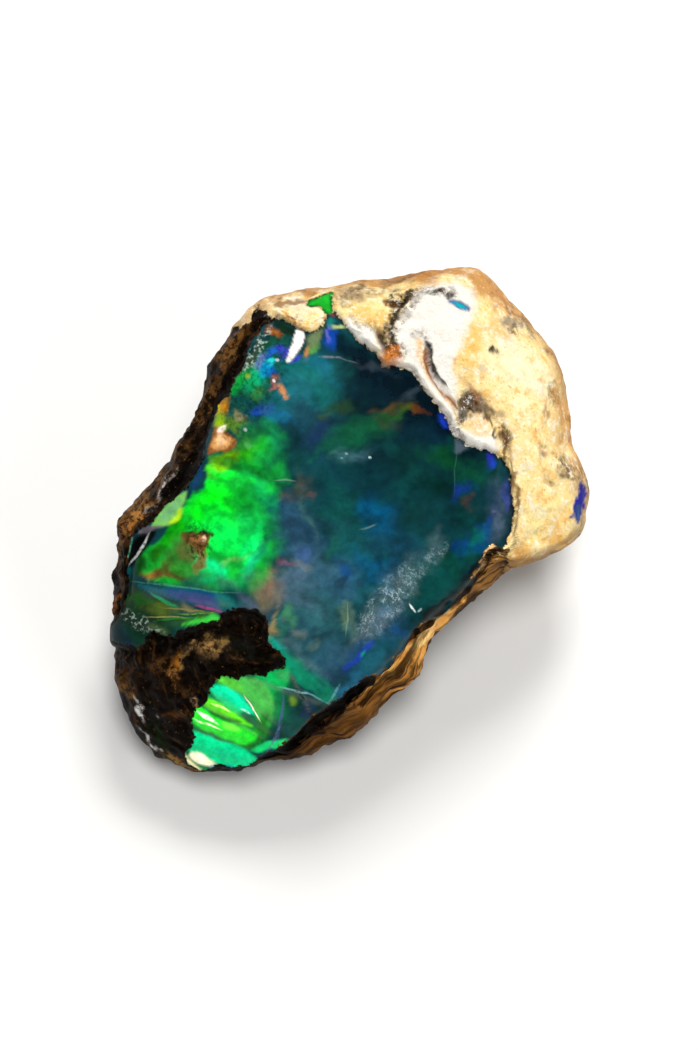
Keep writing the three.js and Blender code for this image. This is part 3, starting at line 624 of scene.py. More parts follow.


# Hair lines and bright points that are finer than the skin's own points. The near-white and pale yellow-green
# ones on the ridges of the shell-shaped break, and the pale pair at 7.6, -2.4, are painted highlights.
SPARKS = [
    (-7.4, -11.25, 3.0, 0.06, 30, "#4c8c70", 0.42, 0.8), (-4.9, -11.5, 0.8, 0.09, 24, "#9c4474", 0.8, 0.8),
    (2.2, -15.75, 0.9, 0.05, -18, "#fff2d4", 1.0, 0.6), (0.2, -17.15, 0.6, 0.07, 12, "#dcf690", 0.95, 0.7),
    (-0.2, -18.35, 0.8, 0.13, 6, "#fbffe8", 1.0, 0.6), (0.1, -18.8, 0.9, 0.08, 14, "#f4fad0", 0.95, 0.6),
    (2.0, -16.3, 0.3, 0.07, 10, "#b0fce0", 0.8, 0.6), (4.1, -12.65, 1.0, 0.07, 22, "#7cb4b4", 0.8, 0.7),
    (5.8, -12.1, 1.0, 0.06, 8, "#568c90", 0.7, 0.7), (6.6, -11.3, 0.7, 0.08, 95, "#5c9494", 0.6, 0.7),
    (4.3, -15.0, 1.4, 0.09, -62, "#445080", 0.75, 0.8), (4.85, -16.6, 0.9, 0.08, 98, "#4c5c84", 0.7, 0.8),
    (-8.8, 9.45, 0.6, 0.06, 32, "#6c7078", 0.6, 0.8), (-7.8, 9.9, 0.8, 0.05, 20, "#565e6c", 0.6, 0.8),
    (-1.75, 5.1, 0.11, 0.09, 0, "#a4c4bc", 0.85, 0.7),
    (-3.35, 4.25, 0.1, 0.07, 0, "#7ca4a8", 0.6, 0.7), (-3.5, 3.75, 0.1, 0.06, 30, "#6c949c", 0.5, 0.7),
    (-10.75, 1.25, 0.12, 0.1, 0, "#98a4a0", 0.7, 0.8), (-11.2, 5.4, 0.12, 0.1, 0, "#c8c8c4", 0.8, 0.7),
    (-11.9, 6.9, 0.1, 0.1, 0, "#acb0c8", 0.7, 0.7), (-11.9, -11.0, 1.1, 0.09, 92, "#b4b8b4", 0.85, 0.7),
    (-12.4, -11.9, 1.9, 0.09, 114, "#4c8468", 0.85, 0.7), (3.9, 8.3, 1.6, 0.04, -58, "#2c5450", 0.45, 0.8),
    (-5.5, -12.4, 1.0, 0.05, 38, "#5a8c30", 0.7, 0.8), (-6.2, -12.55, 1.4, 0.06, 30, "#7c7440", 0.7, 0.8),
    (-6.3, -13.4, 1.2, 0.07, 40, "#24701c", 0.8, 0.8), (-7.2, -13.9, 1.2, 0.05, 34, "#8a8a50", 0.6, 0.8),
    (-8.2, -13.0, 0.9, 0.12, 8, "#109458", 0.8, 0.7), (1.2, 0.7, 0.5, 0.06, 55, "#6a8a7e", 0.35, 0.8),
    (-6.0, -0.2, 0.6, 0.05, 35, "#7a8c84", 0.4, 0.8), (4.0, -5.9, 0.9, 0.05, -58, "#8c9c84", 0.3, 0.8),
    (7.6, -2.4, 0.3, 0.06, -20, "#d0d8d6", 0.9, 0.8), (8.1, -2.2, 0.07, 0.16, 0, "#a8b0b0", 0.7, 0.8),
]


def opal_colour(tree, place, laid):
    """The opal's laid colours with fine murk, a band of pale scratches, speckles, hair lines and painted
    highlights.
    """
    flat = moved(tree, "MULTIPLY_ADD", place, (1, 1, 0), (0, 0, 1))
    murk, _ = grain(tree, flat, 0.6, 6.0, 0.66)
    colour = moved(tree, "MULTIPLY", laid, between(tree, murk, 0.3, 0.7, 0.79, 1.18))
    _, swirl = grain(tree, flat, 1.6, 1.0, 0.4)
    scrape, _ = grain(tree, flat, 0.55, 4.0, 0.62)
    curl = sums(tree, "ABSOLUTE", sums(tree, "SUBTRACT", scrape, 0.5))
    fleck, _ = grain(tree, flat, 0.34, 3.0, 0.6)
    scratched = sums(tree, "MAXIMUM", spot(tree, flat, 5.75, -2.9, 2.6, 0.9, 88, 1.0, 0.7),
                     spot(tree, flat, 6.3, 0.8, 1.9, 0.45, 78, 0.6, 0.7))
    clump = between(tree, murk, 0.44, 0.6, 0.12, 1.0)
    frosting = sums(tree, "MULTIPLY", sums(tree, "MULTIPLY", scratched, clump),
                    between(tree, fleck, 0.4, 0.6, 0.0, 0.6))
    colour = lay_over(tree, frosting, colour, "#5c7680")
    scratches = sums(tree, "MULTIPLY", sums(tree, "MULTIPLY", scratched, clump),
                     between(tree, curl, 0.04, 0.004, 0.0, 0.75))
    colour = lay_over(tree, scratches, colour, "#96a6aa")
    cluster = sums(tree, "MAXIMUM", spot(tree, flat, -12.0, 4.6, 5.4, 1.7, 96, 0.6, 0.4),
                   spot(tree, flat, -8.5, -7.9, 1.5, 0.9, -45, 0.9, 0.4))
    shaded = sums(tree, "MULTIPLY", cluster, between(tree, fleck, 0.56, 0.38, 0.0, 0.8))
    colour = lay_over(tree, shaded, colour, "#050c0c")
    speckled = sums(tree, "MAXIMUM", spot(tree, flat, -13.6, 6.6, 1.9, 0.4, 96, 1.0, 0.4),
                    spot(tree, flat, -8.6, -15.5, 1.8, 0.5, 8, 0.9, 0.5))
    speckles = sums(tree, "MULTIPLY", speckled, between(tree, fleck, 0.5, 0.64, 0.0, 0.75))
    colour = lay_over(tree, speckles, colour, "#98a698")
    wavering = moved(tree, "MULTIPLY_ADD", swirl, (0.5, 0.5, 0), (-0.25, -0.25, 0))
    wavered = moved(tree, "ADD", flat, wavering)
    broken = between(tree, fleck, 0.36, 0.5, 0.3, 1.0)
    for px, py, half_long, half_wide, turn, code, strength, softness in SPARKS:
        share = spot(tree, wavered, px, py, half_long, half_wide, turn, strength, softness)
        colour = lay_over(tree, sums(tree, "MULTIPLY", share, broken), colour, code)
    return colour


# ---------------------------------------------------------------------------------------------
# The ironstone.
# Hard dark-brown rock that the opal grew in. It stands as a rim down the left, closes the lower end,
# runs up into the window as a rough patch, and on the right it is a band of golden fibres.
RIM_OVER_WINDOW = [
    (-5.0, 11.6, 0.6), (0.4, 11.3, 0.7), (6.0, 11.0, 0.6), (9.2, 8.8, 0.5), (10.4, 5.6, 0.3),
    (9.9, 0.6, 0.0), (8.7, -4.4, -0.2), (7.6, -10.0, -0.4), (6.2, -15.0, -0.4), (4.6, -19.4, -0.3),
    (0.6, -22.0, -0.2), (-4.0, -22.0, -0.2), (-9.6, -17.8, 0.0), (-12.6, -11.4, 0.4),
    (-12.0, -5.0, 0.6), (-13.4, 2.0, 0.7), (-14.0, 7.0, 0.8), (-12.6, 11.6, 0.5), (-9.0, 12.4, 0.5),
]
PATCH_LIFT = 0.3         # of the rough patch at the lower end over the broken opal beside it
WALL_WIDTHS = (0.55, 0.36)       # of the step from window to rock, at the lower and the upper end
LEFT_GAP = [(-13.4, -9.0), (-12.5, -5.6), (-12.6, -2.6), (-13.5, 0.2), (-14.0, 3.0), (-14.4, 5.4),
            (-14.9, 7.4), (-14.6, 9.2)]
INNER_GAP = [(-12.3, -9.2), (-12.2, -10.6), (-11.8, -12.2), (-11.0, -13.6), (-10.2, -15.2)]
RIGHT_GAP = [(10.1, 5.6), (10.4, 3.4), (10.1, 0.8), (9.3, -2.6), (8.9, -5.0), (8.6, -8.0),
             (7.9, -10.0), (7.4, -12.0), (6.7, -14.0), (6.4, -16.0), (5.9, -18.0), (4.8, -20.0)]


def furrow(stations, depth, half_width):
    """A groove along a line on the face, tapering out at both ends; gives its relief and its share."""
    line = smooth_line(stations, 6, closed=False)
    gap, travelled = along_line(line, x, y)
    length = travelled.max()
    taper = ease(travelled, 0, 0.15 * length) * ease(length - travelled, 0, 0.15 * length)
    share = taper * np.exp(-((gap + 0.12 * ragged) / half_width) ** 2)
    return -depth * share, share


_, rim_height = look_around(smooth_line(RIM_OVER_WINDOW), bearing)
outside = ease(-ragged_edge, -0.02, mix(*WALL_WIDTHS, ease(y, 3, 6)))
left_gap, in_left_gap = furrow(LEFT_GAP, 0.7, 0.42)
right_gap, in_right_gap = furrow(RIGHT_GAP, 0.8, 0.4)
from_right_gap = np.abs(along_line(smooth_line(RIGHT_GAP, 6, closed=False), x, y)[0])
inner_gap, in_inner_gap = furrow(INNER_GAP, 0.5, 0.24)
gaps = left_gap + right_gap + inner_gap
on_patch = ease(y, -20.5, -18.5) * ease(-y, 9.0, 10.5) * ease(-x, -2.6, -1.6)
rim_relief = outside * (rim_height + on_patch * PATCH_LIFT)

# Stains on the ironstone, laid as the flashes of the opal are, and painted highlights on it: the white and
# pale grey glints, and the pale gold ones on the fibres.
IRON_STAINS_AND_HIGHLIGHTS = [
    (-14.4, 3.0, 6.5, 1.2, 92, "#22150b", 0.9, 0.5), (-14.0, -7.6, 5.0, 1.1, 96, "#3c2612", 0.85, 0.5),
    (-13.5, -8.9, 1.3, 0.6, 84, "#c08440", 0.95, 0.6), (-13.9, -9.7, 0.6, 0.35, 60, "#a0642a", 0.85, 0.6),
    (-13.7, -5.6, 1.0, 0.3, 100, "#9c7444", 0.85, 0.6), (-14.6, -7.0, 2.6, 0.4, 94, "#84592a", 0.8, 0.6),
    # The white and pale grey glints at -13.2, -6.5, -13.4, -4.3, -13.1, -7.9 and -14.7, 8.9 are painted
    # highlights on the wet rim.
    (-13.2, -6.5, 1.0, 0.22, 96, "#f4ede4", 0.97, 0.5), (-13.4, -4.3, 0.6, 0.2, 100, "#948a80", 0.85, 0.6),
    (-13.1, -7.9, 0.35, 0.2, 60, "#a89e94", 0.8, 0.6), (-12.6, -7.2, 2.2, 0.35, 92, "#1a120a", 0.9, 0.5),
    (-15.0, 0.5, 3.5, 0.45, 84, "#6c4a24", 0.8, 0.6), (-15.6, 5.5, 2.8, 0.5, 96, "#7c5428", 0.8, 0.6),
    (-14.9, 4.4, 2.0, 0.25, 96, "#54381a", 0.8, 0.6), (-14.7, 8.9, 0.25, 0.2, 0, "#d8cfc4", 0.9, 0.6),
    (-13.7, -11.6, 1.6, 0.5, 120, "#80562a", 0.85, 0.6), (-12.4, -13.6, 1.0, 0.4, 125, "#5c3d1c", 0.8, 0.6),
    (-10.9, -16.0, 1.3, 0.35, 108, "#94561e", 0.85, 0.5), (-6.4, -18.8, 2.6, 1.6, 20, "#22140a", 0.8, 0.7),
    (-1.0, -12.6, 1.6, 0.7, 20, "#131a0e", 0.85, 0.7), (-2.6, -11.2, 1.4, 1.0, 0, "#1c1108", 0.8, 0.7),
    (-3.0, -13.6, 0.8, 0.45, 35, "#a07c44", 0.9, 0.7), (-3.3, -14.5, 0.9, 0.35, 20, "#b08650", 0.9, 0.7),
    (-4.2, -14.5, 0.4, 0.35, 0, "#c49a60", 0.9, 0.6), (-4.6, -16.7, 0.35, 0.5, 0, "#c47818", 0.95, 0.6),
    (-4.1, -16.3, 0.7, 0.2, 80, "#ba9054", 0.9, 0.6), (-4.3, -17.4, 0.4, 0.25, 90, "#aa743a", 0.9, 0.6),
    (-1.4, -17.6, 0.5, 0.22, 0, "#d8a880", 0.9, 0.6), (-5.6, -17.0, 0.8, 0.5, 40, "#5c3c1c", 0.8, 0.7),
    (-2.4, -16.8, 1.0, 0.4, 60, "#4e341a", 0.8, 0.7), (1.0, -11.3, 0.5, 0.3, 0, "#7c4e24", 0.85, 0.6),
    (-1.0, -13.6, 0.6, 0.4, 0, "#5c3f22", 0.8, 0.7), (-1.9, -19.8, 1.0, 0.3, 40, "#6c4420", 0.85, 0.6),
    (-6.6, -20.9, 0.9, 0.4, -20, "#7c5424", 0.85, 0.6), (-2.4, -22.1, 1.2, 0.6, 0, "#15260c", 0.8, 0.6),
    (0.4, -22.8, 1.6, 0.3, 8, "#a47c40", 0.85, 0.6), (-7.4, -19.6, 1.0, 0.6, 50, "#442c18", 0.8, 0.7),
    # The white and pale grey glints at -5.2, -21.3, -3.0, -20.9 and -2.9, -22.8 are painted highlights.
    (-5.2, -21.3, 1.0, 0.14, -28, "#f4f0e8", 0.97, 0.6), (-3.0, -20.9, 0.2, 0.16, 40, "#d4d0c8", 0.9, 0.6),
    (-2.9, -22.8, 1.2, 0.12, -8, "#f4f0e8", 0.97, 0.6), (-8.4, -20.0, 1.2, 0.4, -50, "#5c3a1c", 0.8, 0.6),
    # Down the golden fibres from here: pale gold with painted highlights near the middle, darkening towards
    # the lower end; the fibres' own gold with painted light and shade on it.
    (10.9, 3.6, 2.2, 0.9, 100, "#c48e48", 0.9, 0.7), (11.0, 0.2, 2.6, 0.9, 84, "#9c6c30", 0.85, 0.7),
    (10.2, -5.6, 3.6, 1.3, 88, "#dc9848", 0.94, 0.7), (9.4, -9.6, 2.4, 1.1, 76, "#8c5c26", 0.88, 0.7),
    (9.8, -4.2, 1.4, 0.4, 84, "#f8cc80", 0.92, 0.6), (9.5, -7.2, 1.5, 0.4, 82, "#f0b860", 0.9, 0.6),
    (9.75, -1.4, 0.6, 0.25, 80, "#fcdca4", 0.92, 0.6), (10.6, -3.0, 2.4, 0.4, 88, "#e8a850", 0.88, 0.6),
    (8.2, -13.6, 2.6, 1.1, 68, "#4c3216", 0.85, 0.7), (6.4, -18.0, 2.6, 1.0, 58, "#38240e", 0.85, 0.7),
]
IRON_PATCHES_AND_GAP_SHADE = [
    ("#dcb480", 0.95, 0.14, [(9.3, 5.1), (9.8, 5.1), (10.1, 4.2), (10.3, 3.2), (10.1, 2.6), (9.7, 3.4)]),
    # The two near-black outlines are painted shade in the gap down the right-hand side of the window.
    ("#070505", 0.97, 0.16, [(10.1, 5.4), (10.6, 5.2), (10.7, 3.6), (10.5, 1.6), (10.0, 0.0), (9.9, 1.6),
                             (10.4, 3.0), (10.2, 4.4)]),
    ("#070505", 0.97, 0.2, [(7.3, -9.2), (8.0, -8.4), (8.5, -9.0), (8.2, -11.2), (7.5, -13.0),
                            (7.0, -15.0), (6.6, -17.4), (5.8, -19.2), (5.1, -18.8), (5.8, -16.4),
                            (6.2, -14.0), (6.8, -11.6)]),
]
OLD_GOLD = "#6a441c"             # the fibres where nothing stains them
IRON_BLACK = "#100a05"


def ironstone_colour(tree, place, rim_along, laid):
    """Near-black brown with rusty bands and golden glints over the stains laid on it."""
    patch, _ = grain(tree, place, 0.55, 7.0, 0.75)
    colour = lay_over(tree, between(tree, patch, 0.57, 0.43, 0.0, 0.93), laid, "#050302")
    band, _ = grain(tree, moved(tree, "MULTIPLY", rim_along, (0.2, 1, 1)), 0.5, 6.0, 0.65)
    colour = lay_over(tree, between(tree, band, 0.55, 0.72, 0.0, 0.6), colour, "#573819")
    glint, _ = grain(tree, place, 0.35, 6.0, 0.75)
    return lay_over(tree, between(tree, glint, 0.6, 0.7, 0.0, 0.8), colour, "#8f6836")


def fibre_colour(tree, rim_along, laid):
    """Fibres that run along the right-hand rim, light and dark over the gold laid on it."""
    strand, _ = grain(tree, moved(tree, "MULTIPLY", rim_along, (0.06, 1, 1)), 0.42, 3.5, 0.56)
    colour = moved(tree, "MULTIPLY", laid, between(tree, strand, 0.36, 0.64, 0.16, 1.8))
    shade, _ = grain(tree, moved(tree, "MULTIPLY", rim_along, (0.4, 1, 1)), 1.4, 5.0, 0.62)
    return lay_over(tree, between(tree, shade, 0.46, 0.34, 0.0, 0.85), colour, "#150c05")


# ---------------------------------------------------------------------------------------------
# The cream matrix.
# Pale, porcelain-like clay rock that wraps the top end. It stands over the window in a lumpy ledge
# with a crack, a knob and a scatter of pits, and where it has broken it is crumbly, with dirt and painted
# shade among the crumbs.
CRACK = [(-3.8, 15.0), (-3.2, 14.6), (-2.6, 13.8), (-1.8, 13.2), (-0.6, 12.7), (0.4, 12.3), (1.4, 12.1)]
PITS = [(1.1, 17.3, 0.22, 0.35), (1.0, 19.8, 0.5, 0.2), (-7.2, 15.9, 0.4, 0.4), (-6.2, 15.3, 0.4, 0.4),
        (-6.2, 13.6, 0.4, 0.35), (2.0, 12.9, 0.5, 0.3), (10.9, 13.4, 0.5, 0.15), (7.0, 17.4, 0.4, 0.15),
        (6.4, 11.6, 0.3, 0.15), (-4.7, 18.6, 0.4, 0.15), (-9.6, 15.4, 0.5, 0.15), (-6.6, 17.8, 0.5, 0.2),
        (5.6, 12.3, 0.4, 0.2), (-8.4, 13.4, 0.4, 0.15)]
KNOBS = [(4.2, 11.6, 1.1, 0.3), (-12.4, 11.0, 1.3, 0.15), (-9.0, 14.6, 1.6, 0.15), (-7.9, 12.5, 0.8, 0.15)]
# Where it crumbles: centre, half length, half width and turn of each place, and how badly.
CRUMBLED = [
    (-6.3, 15.0, 2.1, 0.6, 88, 1.0), (-5.7, 13.3, 1.7, 0.8, -38, 1.0), (-5.0, 18.5, 1.2, 0.6, 25, 0.8),
    (-7.2, 16.5, 1.1, 0.8, 30, 1.0), (-6.5, 17.8, 1.0, 0.5, 45, 0.7), (-9.7, 15.5, 1.5, 0.6, 44, 0.7),
    (1.7, 12.9, 1.2, 0.7, -50, 1.0), (3.5, 13.3, 1.7, 0.25, -16, 0.8), (1.9, 11.3, 1.4, 0.5, -42, 0.8),
    (5.7, 12.5, 1.1, 0.5, -35, 0.8), (11.0, 13.4, 1.3, 0.5, -20, 0.8),
    (1.1, 19.9, 0.9, 0.5, 0, 0.8), (-8.0, 13.2, 1.9, 0.5, 8, 0.5),
    (-12.9, 10.0, 1.6, 0.35, 6, 0.6), (7.0, 17.4, 1.3, 0.3, -55, 0.7), (8.7, 13.4, 0.6, 0.4, 0, 0.6),
    (10.5, 11.9, 0.7, 0.5, 0, 0.5), (-4.0, 15.2, 0.8, 0.4, 30, 0.5), (12.6, 13.4, 1.0, 0.6, -40, 0.7),
    (1.4, 20.8, 2.2, 0.5, -12, 0.5), (-10.6, 13.6, 1.1, 0.5, 40, 0.5),
]
LUMP = 0.6                       # size of the lumps there
LUMP_DEPTH = 0.24
CREAM_AREA = [(-18, 7.3), (-15.9, 7.5), (-15.4, 9.2), (-14.2, 9.9), (-12.0, 9.0), (0, 8.0), (9.0, 6.6),
              (10.6, 5.4), (12.0, 4.4), (16.0, 3.0), (24.0, 8.0), (18.0, 26.0), (-4.0, 30.0),
              (-20.0, 20.0)]

matrix_relief, _ = furrow(CRACK, 0.4, 0.16)
for px, py, size, depth in PITS:
    matrix_relief -= depth * np.exp(-((x - px) ** 2 + (y - py) ** 2) / size**2)
for px, py, size, height in KNOBS:
    matrix_relief += height * np.exp(-((x - px) ** 2 + (y - py) ** 2) / size**2) * (1 + 0.4 * ragged)
in_cream = inside_by(CREAM_AREA, x, y)
# Down the flank its border with the other rocks wanders.
wandering = 4.5 * cloud(spread_x, spread_y, 6.0, 3, 58) + 1.1 * cloud(spread_x, spread_y, 1.8, 3, 59)
in_cream += np.where(is_face, 0, ease(drop, 0, 0.35) * ease(in_cream, -3.0, -1.2) * wandering)

stirred_x, stirred_y = stirred(0.9, 0.4, 45)
crumbled = np.zeros(point_count)
for px, py, half_long, half_wide, turn, badly in CRUMBLED:
    along, across = seen_along((stirred_x, stirred_y), px, py, turn)
    far = np.hypot(along / half_long, across / half_wide)
    crumbled = np.maximum(crumbled, badly * ease(-far, -1.35, -0.55))
crumbled *= is_face
flat_lumps = np.column_stack([stirred_x, stirred_y, crown])
crumb_height = ease(rough(flat_lumps, LUMP, 3), -0.35, 0.25)
matrix_relief += LUMP_DEPTH * crumbled * (crumb_height - 0.8)

CREAM_STAINS_AND_HIGHLIGHTS = [
    (-2.6, 21.4, 3.4, 0.8, -3, "#c58a45", 0.92, 0.6), (2.6, 20.9, 2.4, 0.35, -12, "#d0a060", 0.8, 0.6),
    (-6.8, 19.2, 2.8, 0.8, 46, "#b87a38", 0.92, 0.6), (-9.8, 16.9, 2.4, 0.5, 46, "#c08a48", 0.9, 0.6),
    (-12.6, 13.6, 1.8, 0.6, 46, "#b47e48", 0.9, 0.6), (-14.8, 11.4, 1.6, 0.5, 50, "#b88a5c", 0.9, 0.6),
    # The near-white streak at -14.0, 11.1 is a painted highlight.
    (-14.0, 11.1, 0.7, 0.25, 40, "#fbf4ea", 0.95, 0.6), (-15.7, 9.2, 1.4, 0.4, 80, "#ecc690", 0.85, 0.6),
    (-9.9, 15.0, 1.2, 0.5, 40, "#94795a", 0.8, 0.7), (-9.0, 13.9, 1.2, 0.5, 10, "#f8cd74", 0.9, 0.6),
    (-7.4, 14.6, 0.7, 0.6, 0, "#f4c060", 0.85, 0.7), (-8.2, 16.2, 0.5, 0.9, -30, "#f8dc9c", 0.85, 0.7),
    (-7.2, 16.7, 0.9, 0.5, 60, "#c4a05c", 0.9, 0.6), (-7.0, 15.6, 0.9, 0.3, -12, "#6c3c14", 0.95, 0.6),
    (-8.0, 17.6, 0.9, 0.3, 60, "#8c6a44", 0.8, 0.7), (-6.4, 13.2, 1.0, 0.5, -20, "#5c4a3c", 0.9, 0.7),
    (-5.0, 12.3, 0.7, 0.38, -20, "#d0761a", 0.97, 0.5), (-5.9, 12.5, 0.7, 0.3, 10, "#94581f", 0.9, 0.6),
    # The pale speck at -5.2, 12.3 is a painted highlight on the orange pocket.
    (-5.2, 12.3, 0.3, 0.14, 0, "#f8dcb0", 0.9, 0.5), (-8.2, 12.4, 1.3, 0.45, 0, "#f2ece2", 0.97, 0.5),
    (-9.4, 13.0, 1.0, 0.3, 14, "#f4dcb8", 0.85, 0.6), (-12.9, 10.9, 1.2, 0.8, 10, "#fbe6c0", 0.95, 0.5),
    (-12.6, 9.85, 0.9, 0.14, 5, "#b86a24", 0.92, 0.5), (-10.95, 10.9, 0.14, 0.9, -8, "#b87838", 0.88, 0.5),
    (-0.6, 17.4, 0.8, 1.8, -14, "#f4b650", 0.65, 0.9), (0.3, 15.6, 0.9, 0.8, 0, "#f4c470", 0.7, 0.8),
    (-0.2, 19.2, 0.9, 0.9, 0, "#f0b868", 0.8, 0.8), (1.1, 19.9, 0.6, 0.5, 0, "#8c7c6c", 0.85, 0.6),
    (0.2, 20.6, 1.4, 0.4, 0, "#b8783f", 0.78, 0.7), (1.9, 18.4, 0.8, 0.5, -30, "#d0905c", 0.65, 0.8),
    (1.3, 16.1, 0.5, 0.2, 0, "#c8b094", 0.7, 0.8),
    (0.8, 17.5, 0.2, 0.2, 0, "#fffaf2", 0.9, 0.5), (2.1, 13.1, 1.0, 0.6, -10, "#6c645c", 0.92, 0.7),
    (1.5, 12.2, 0.6, 0.5, 0, "#9a948c", 0.85, 0.7), (1.6, 13.9, 0.9, 0.4, -20, "#a4662c", 0.8, 0.7),
    (3.6, 13.5, 1.6, 0.3, -15, "#a08468", 0.85, 0.7), (5.6, 12.5, 0.8, 0.3, -38, "#80684a", 0.9, 0.6),
    (6.6, 11.4, 0.7, 0.25, -42, "#a07c54", 0.88, 0.6), (7.6, 10.5, 0.9, 0.22, -52, "#7c5c3e", 0.9, 0.6),
    (9.1, 8.8, 1.1, 0.22, -52, "#7c5a2e", 0.9, 0.6), (10.5, 6.6, 1.2, 0.25, -64, "#6c5438", 0.9, 0.6),
    (3.6, 11.9, 1.0, 0.6, 0, "#fcd2a0", 0.95, 0.5), (4.7, 11.2, 1.0, 0.5, 14, "#f4f0e8", 0.95, 0.5),
    (3.2, 10.9, 0.6, 0.3, 0, "#f4ece0", 0.9, 0.6), (1.7, 11.1, 1.3, 0.5, -42, "#ece8e0", 0.9, 0.6),
    (7.4, 17.9, 1.3, 0.35, -42, "#bc8648", 0.85, 0.7), (6.6, 16.8, 1.1, 0.22, -52, "#b07c40", 0.85, 0.7),
    (5.4, 18.6, 0.7, 0.3, -30, "#d8a868", 0.7, 0.7), (8.6, 15.2, 1.6, 0.4, -54, "#f4cc84", 0.7, 0.8),
    (9.6, 16.0, 2.6, 0.5, -52, "#dca050", 0.8, 0.7), (11.6, 14.6, 1.6, 0.4, -40, "#c08c48", 0.8, 0.7),
    (10.5, 11.9, 0.6, 0.5, 0, "#c08c50", 0.85, 0.7), (11.0, 13.4, 0.9, 0.5, -30, "#8c7454", 0.85, 0.7),
    (8.8, 13.5, 0.5, 0.3, 0, "#b88c5c", 0.75, 0.7), (12.0, 12.2, 0.6, 0.8, 0, "#e4c08c", 0.7, 0.7),
    (12.6, 13.3, 0.7, 0.6, 0, "#a07c54", 0.85, 0.6), (13.4, 8.6, 1.4, 0.9, 20, "#e6a848", 0.85, 0.7),
    (12.6, 10.6, 1.2, 0.6, -50, "#f8cc74", 0.75, 0.8), (12.0, 5.6, 1.0, 1.2, 0, "#d89c44", 0.85, 0.6),
    (11.6, 9.4, 1.0, 1.6, 10, "#fce89c", 0.7, 0.7), (3.4, 17.6, 2.2, 1.4, -10, "#fff6d0", 0.75, 0.8),
    (5.4, 14.8, 2.2, 0.8, -40, "#fff4c0", 0.7, 0.8),
    (-4.7, 18.7, 0.6, 0.5, 0, "#8c8074", 0.88, 0.7), (-5.9, 18.0, 0.7, 0.35, 40, "#a89884", 0.85, 0.7),
]
CREAM_PATCHES = [
    ("#f0ebe2", 0.97, 0.45, [(-6.2, 18.0), (-5.2, 19.3), (-4.4, 20.0), (-2.9, 20.1), (-1.9, 19.2),
                             (-1.6, 17.8), (-1.1, 16.2), (-0.9, 14.8), (0.6, 13.4), (1.0, 12.6),
                             (0.9, 11.5), (-1.0, 11.9), (-3.5, 12.3), (-5.0, 13.2), (-6.2, 14.0),
                             (-6.4, 16.0)]),
    ("#f0c48c", 0.9, 0.16, [(-4.2, 14.8), (-3.4, 14.5), (-2.8, 13.6), (-1.8, 12.9), (-0.4, 12.4),
                            (1.2, 12.1), (1.2, 11.9), (-0.4, 12.1), (-2.0, 12.6), (-3.0, 13.2),
                            (-3.8, 14.0)]),
    ("#8a4c12", 0.97, 0.1, [(-3.4, 14.5), (-2.9, 14.1), (-2.3, 13.4), (-1.6, 13.0), (-0.4, 12.55),
                            (1.2, 12.15), (1.2, 11.95), (-0.4, 12.3), (-1.7, 12.75), (-2.5, 13.2),
                            (-3.0, 13.8)]),
    # Painted shade along the upper side of the crack.
    ("#0c0705", 0.97, 0.1, [(-3.8, 15.05), (-3.1, 14.75), (-2.5, 14.05), (-1.6, 13.4), (0.4, 12.75),
                            (-0.8, 12.9), (-1.9, 13.2), (-2.6, 13.8), (-3.3, 14.5)]),
    ("#4a5a84", 1.0, 0.12, [(-4.1, 18.35), (-3.4, 18.85), (-2.6, 19.05), (-2.1, 19.0), (-2.4, 18.6),
                            (-3.2, 18.3)]),
    ("#1a74c0", 1.0, 0.1, [(-3.9, 18.4), (-3.2, 18.8), (-2.5, 18.95), (-2.4, 18.7), (-3.2, 18.4)]),
    ("#10b8b4", 1.0, 0.1, [(-3.7, 18.5), (-3.0, 18.8), (-2.5, 18.9), (-2.7, 18.65), (-3.2, 18.5)]),
    ("#fcd8ac", 0.95, 0.14, [(2.8, 11.5), (3.0, 12.3), (3.8, 12.4), (4.6, 12.0), (4.5, 11.5), (3.6, 11.2)]),
    ("#fbf8f0", 1.0, 0.12, [(2.7, 10.3), (3.0, 11.1), (3.7, 11.2), (4.5, 11.5), (5.0, 11.9), (5.6, 11.2),
                            (5.3, 10.6), (4.2, 10.2), (3.4, 9.6)]),
    ("#fbf6ec", 0.95, 0.14, [(-9.2, 12.3), (-8.8, 12.8), (-7.8, 13.1), (-6.9, 12.7), (-6.6, 12.1),
                             (-7.6, 11.7), (-8.6, 12.0)]),
]
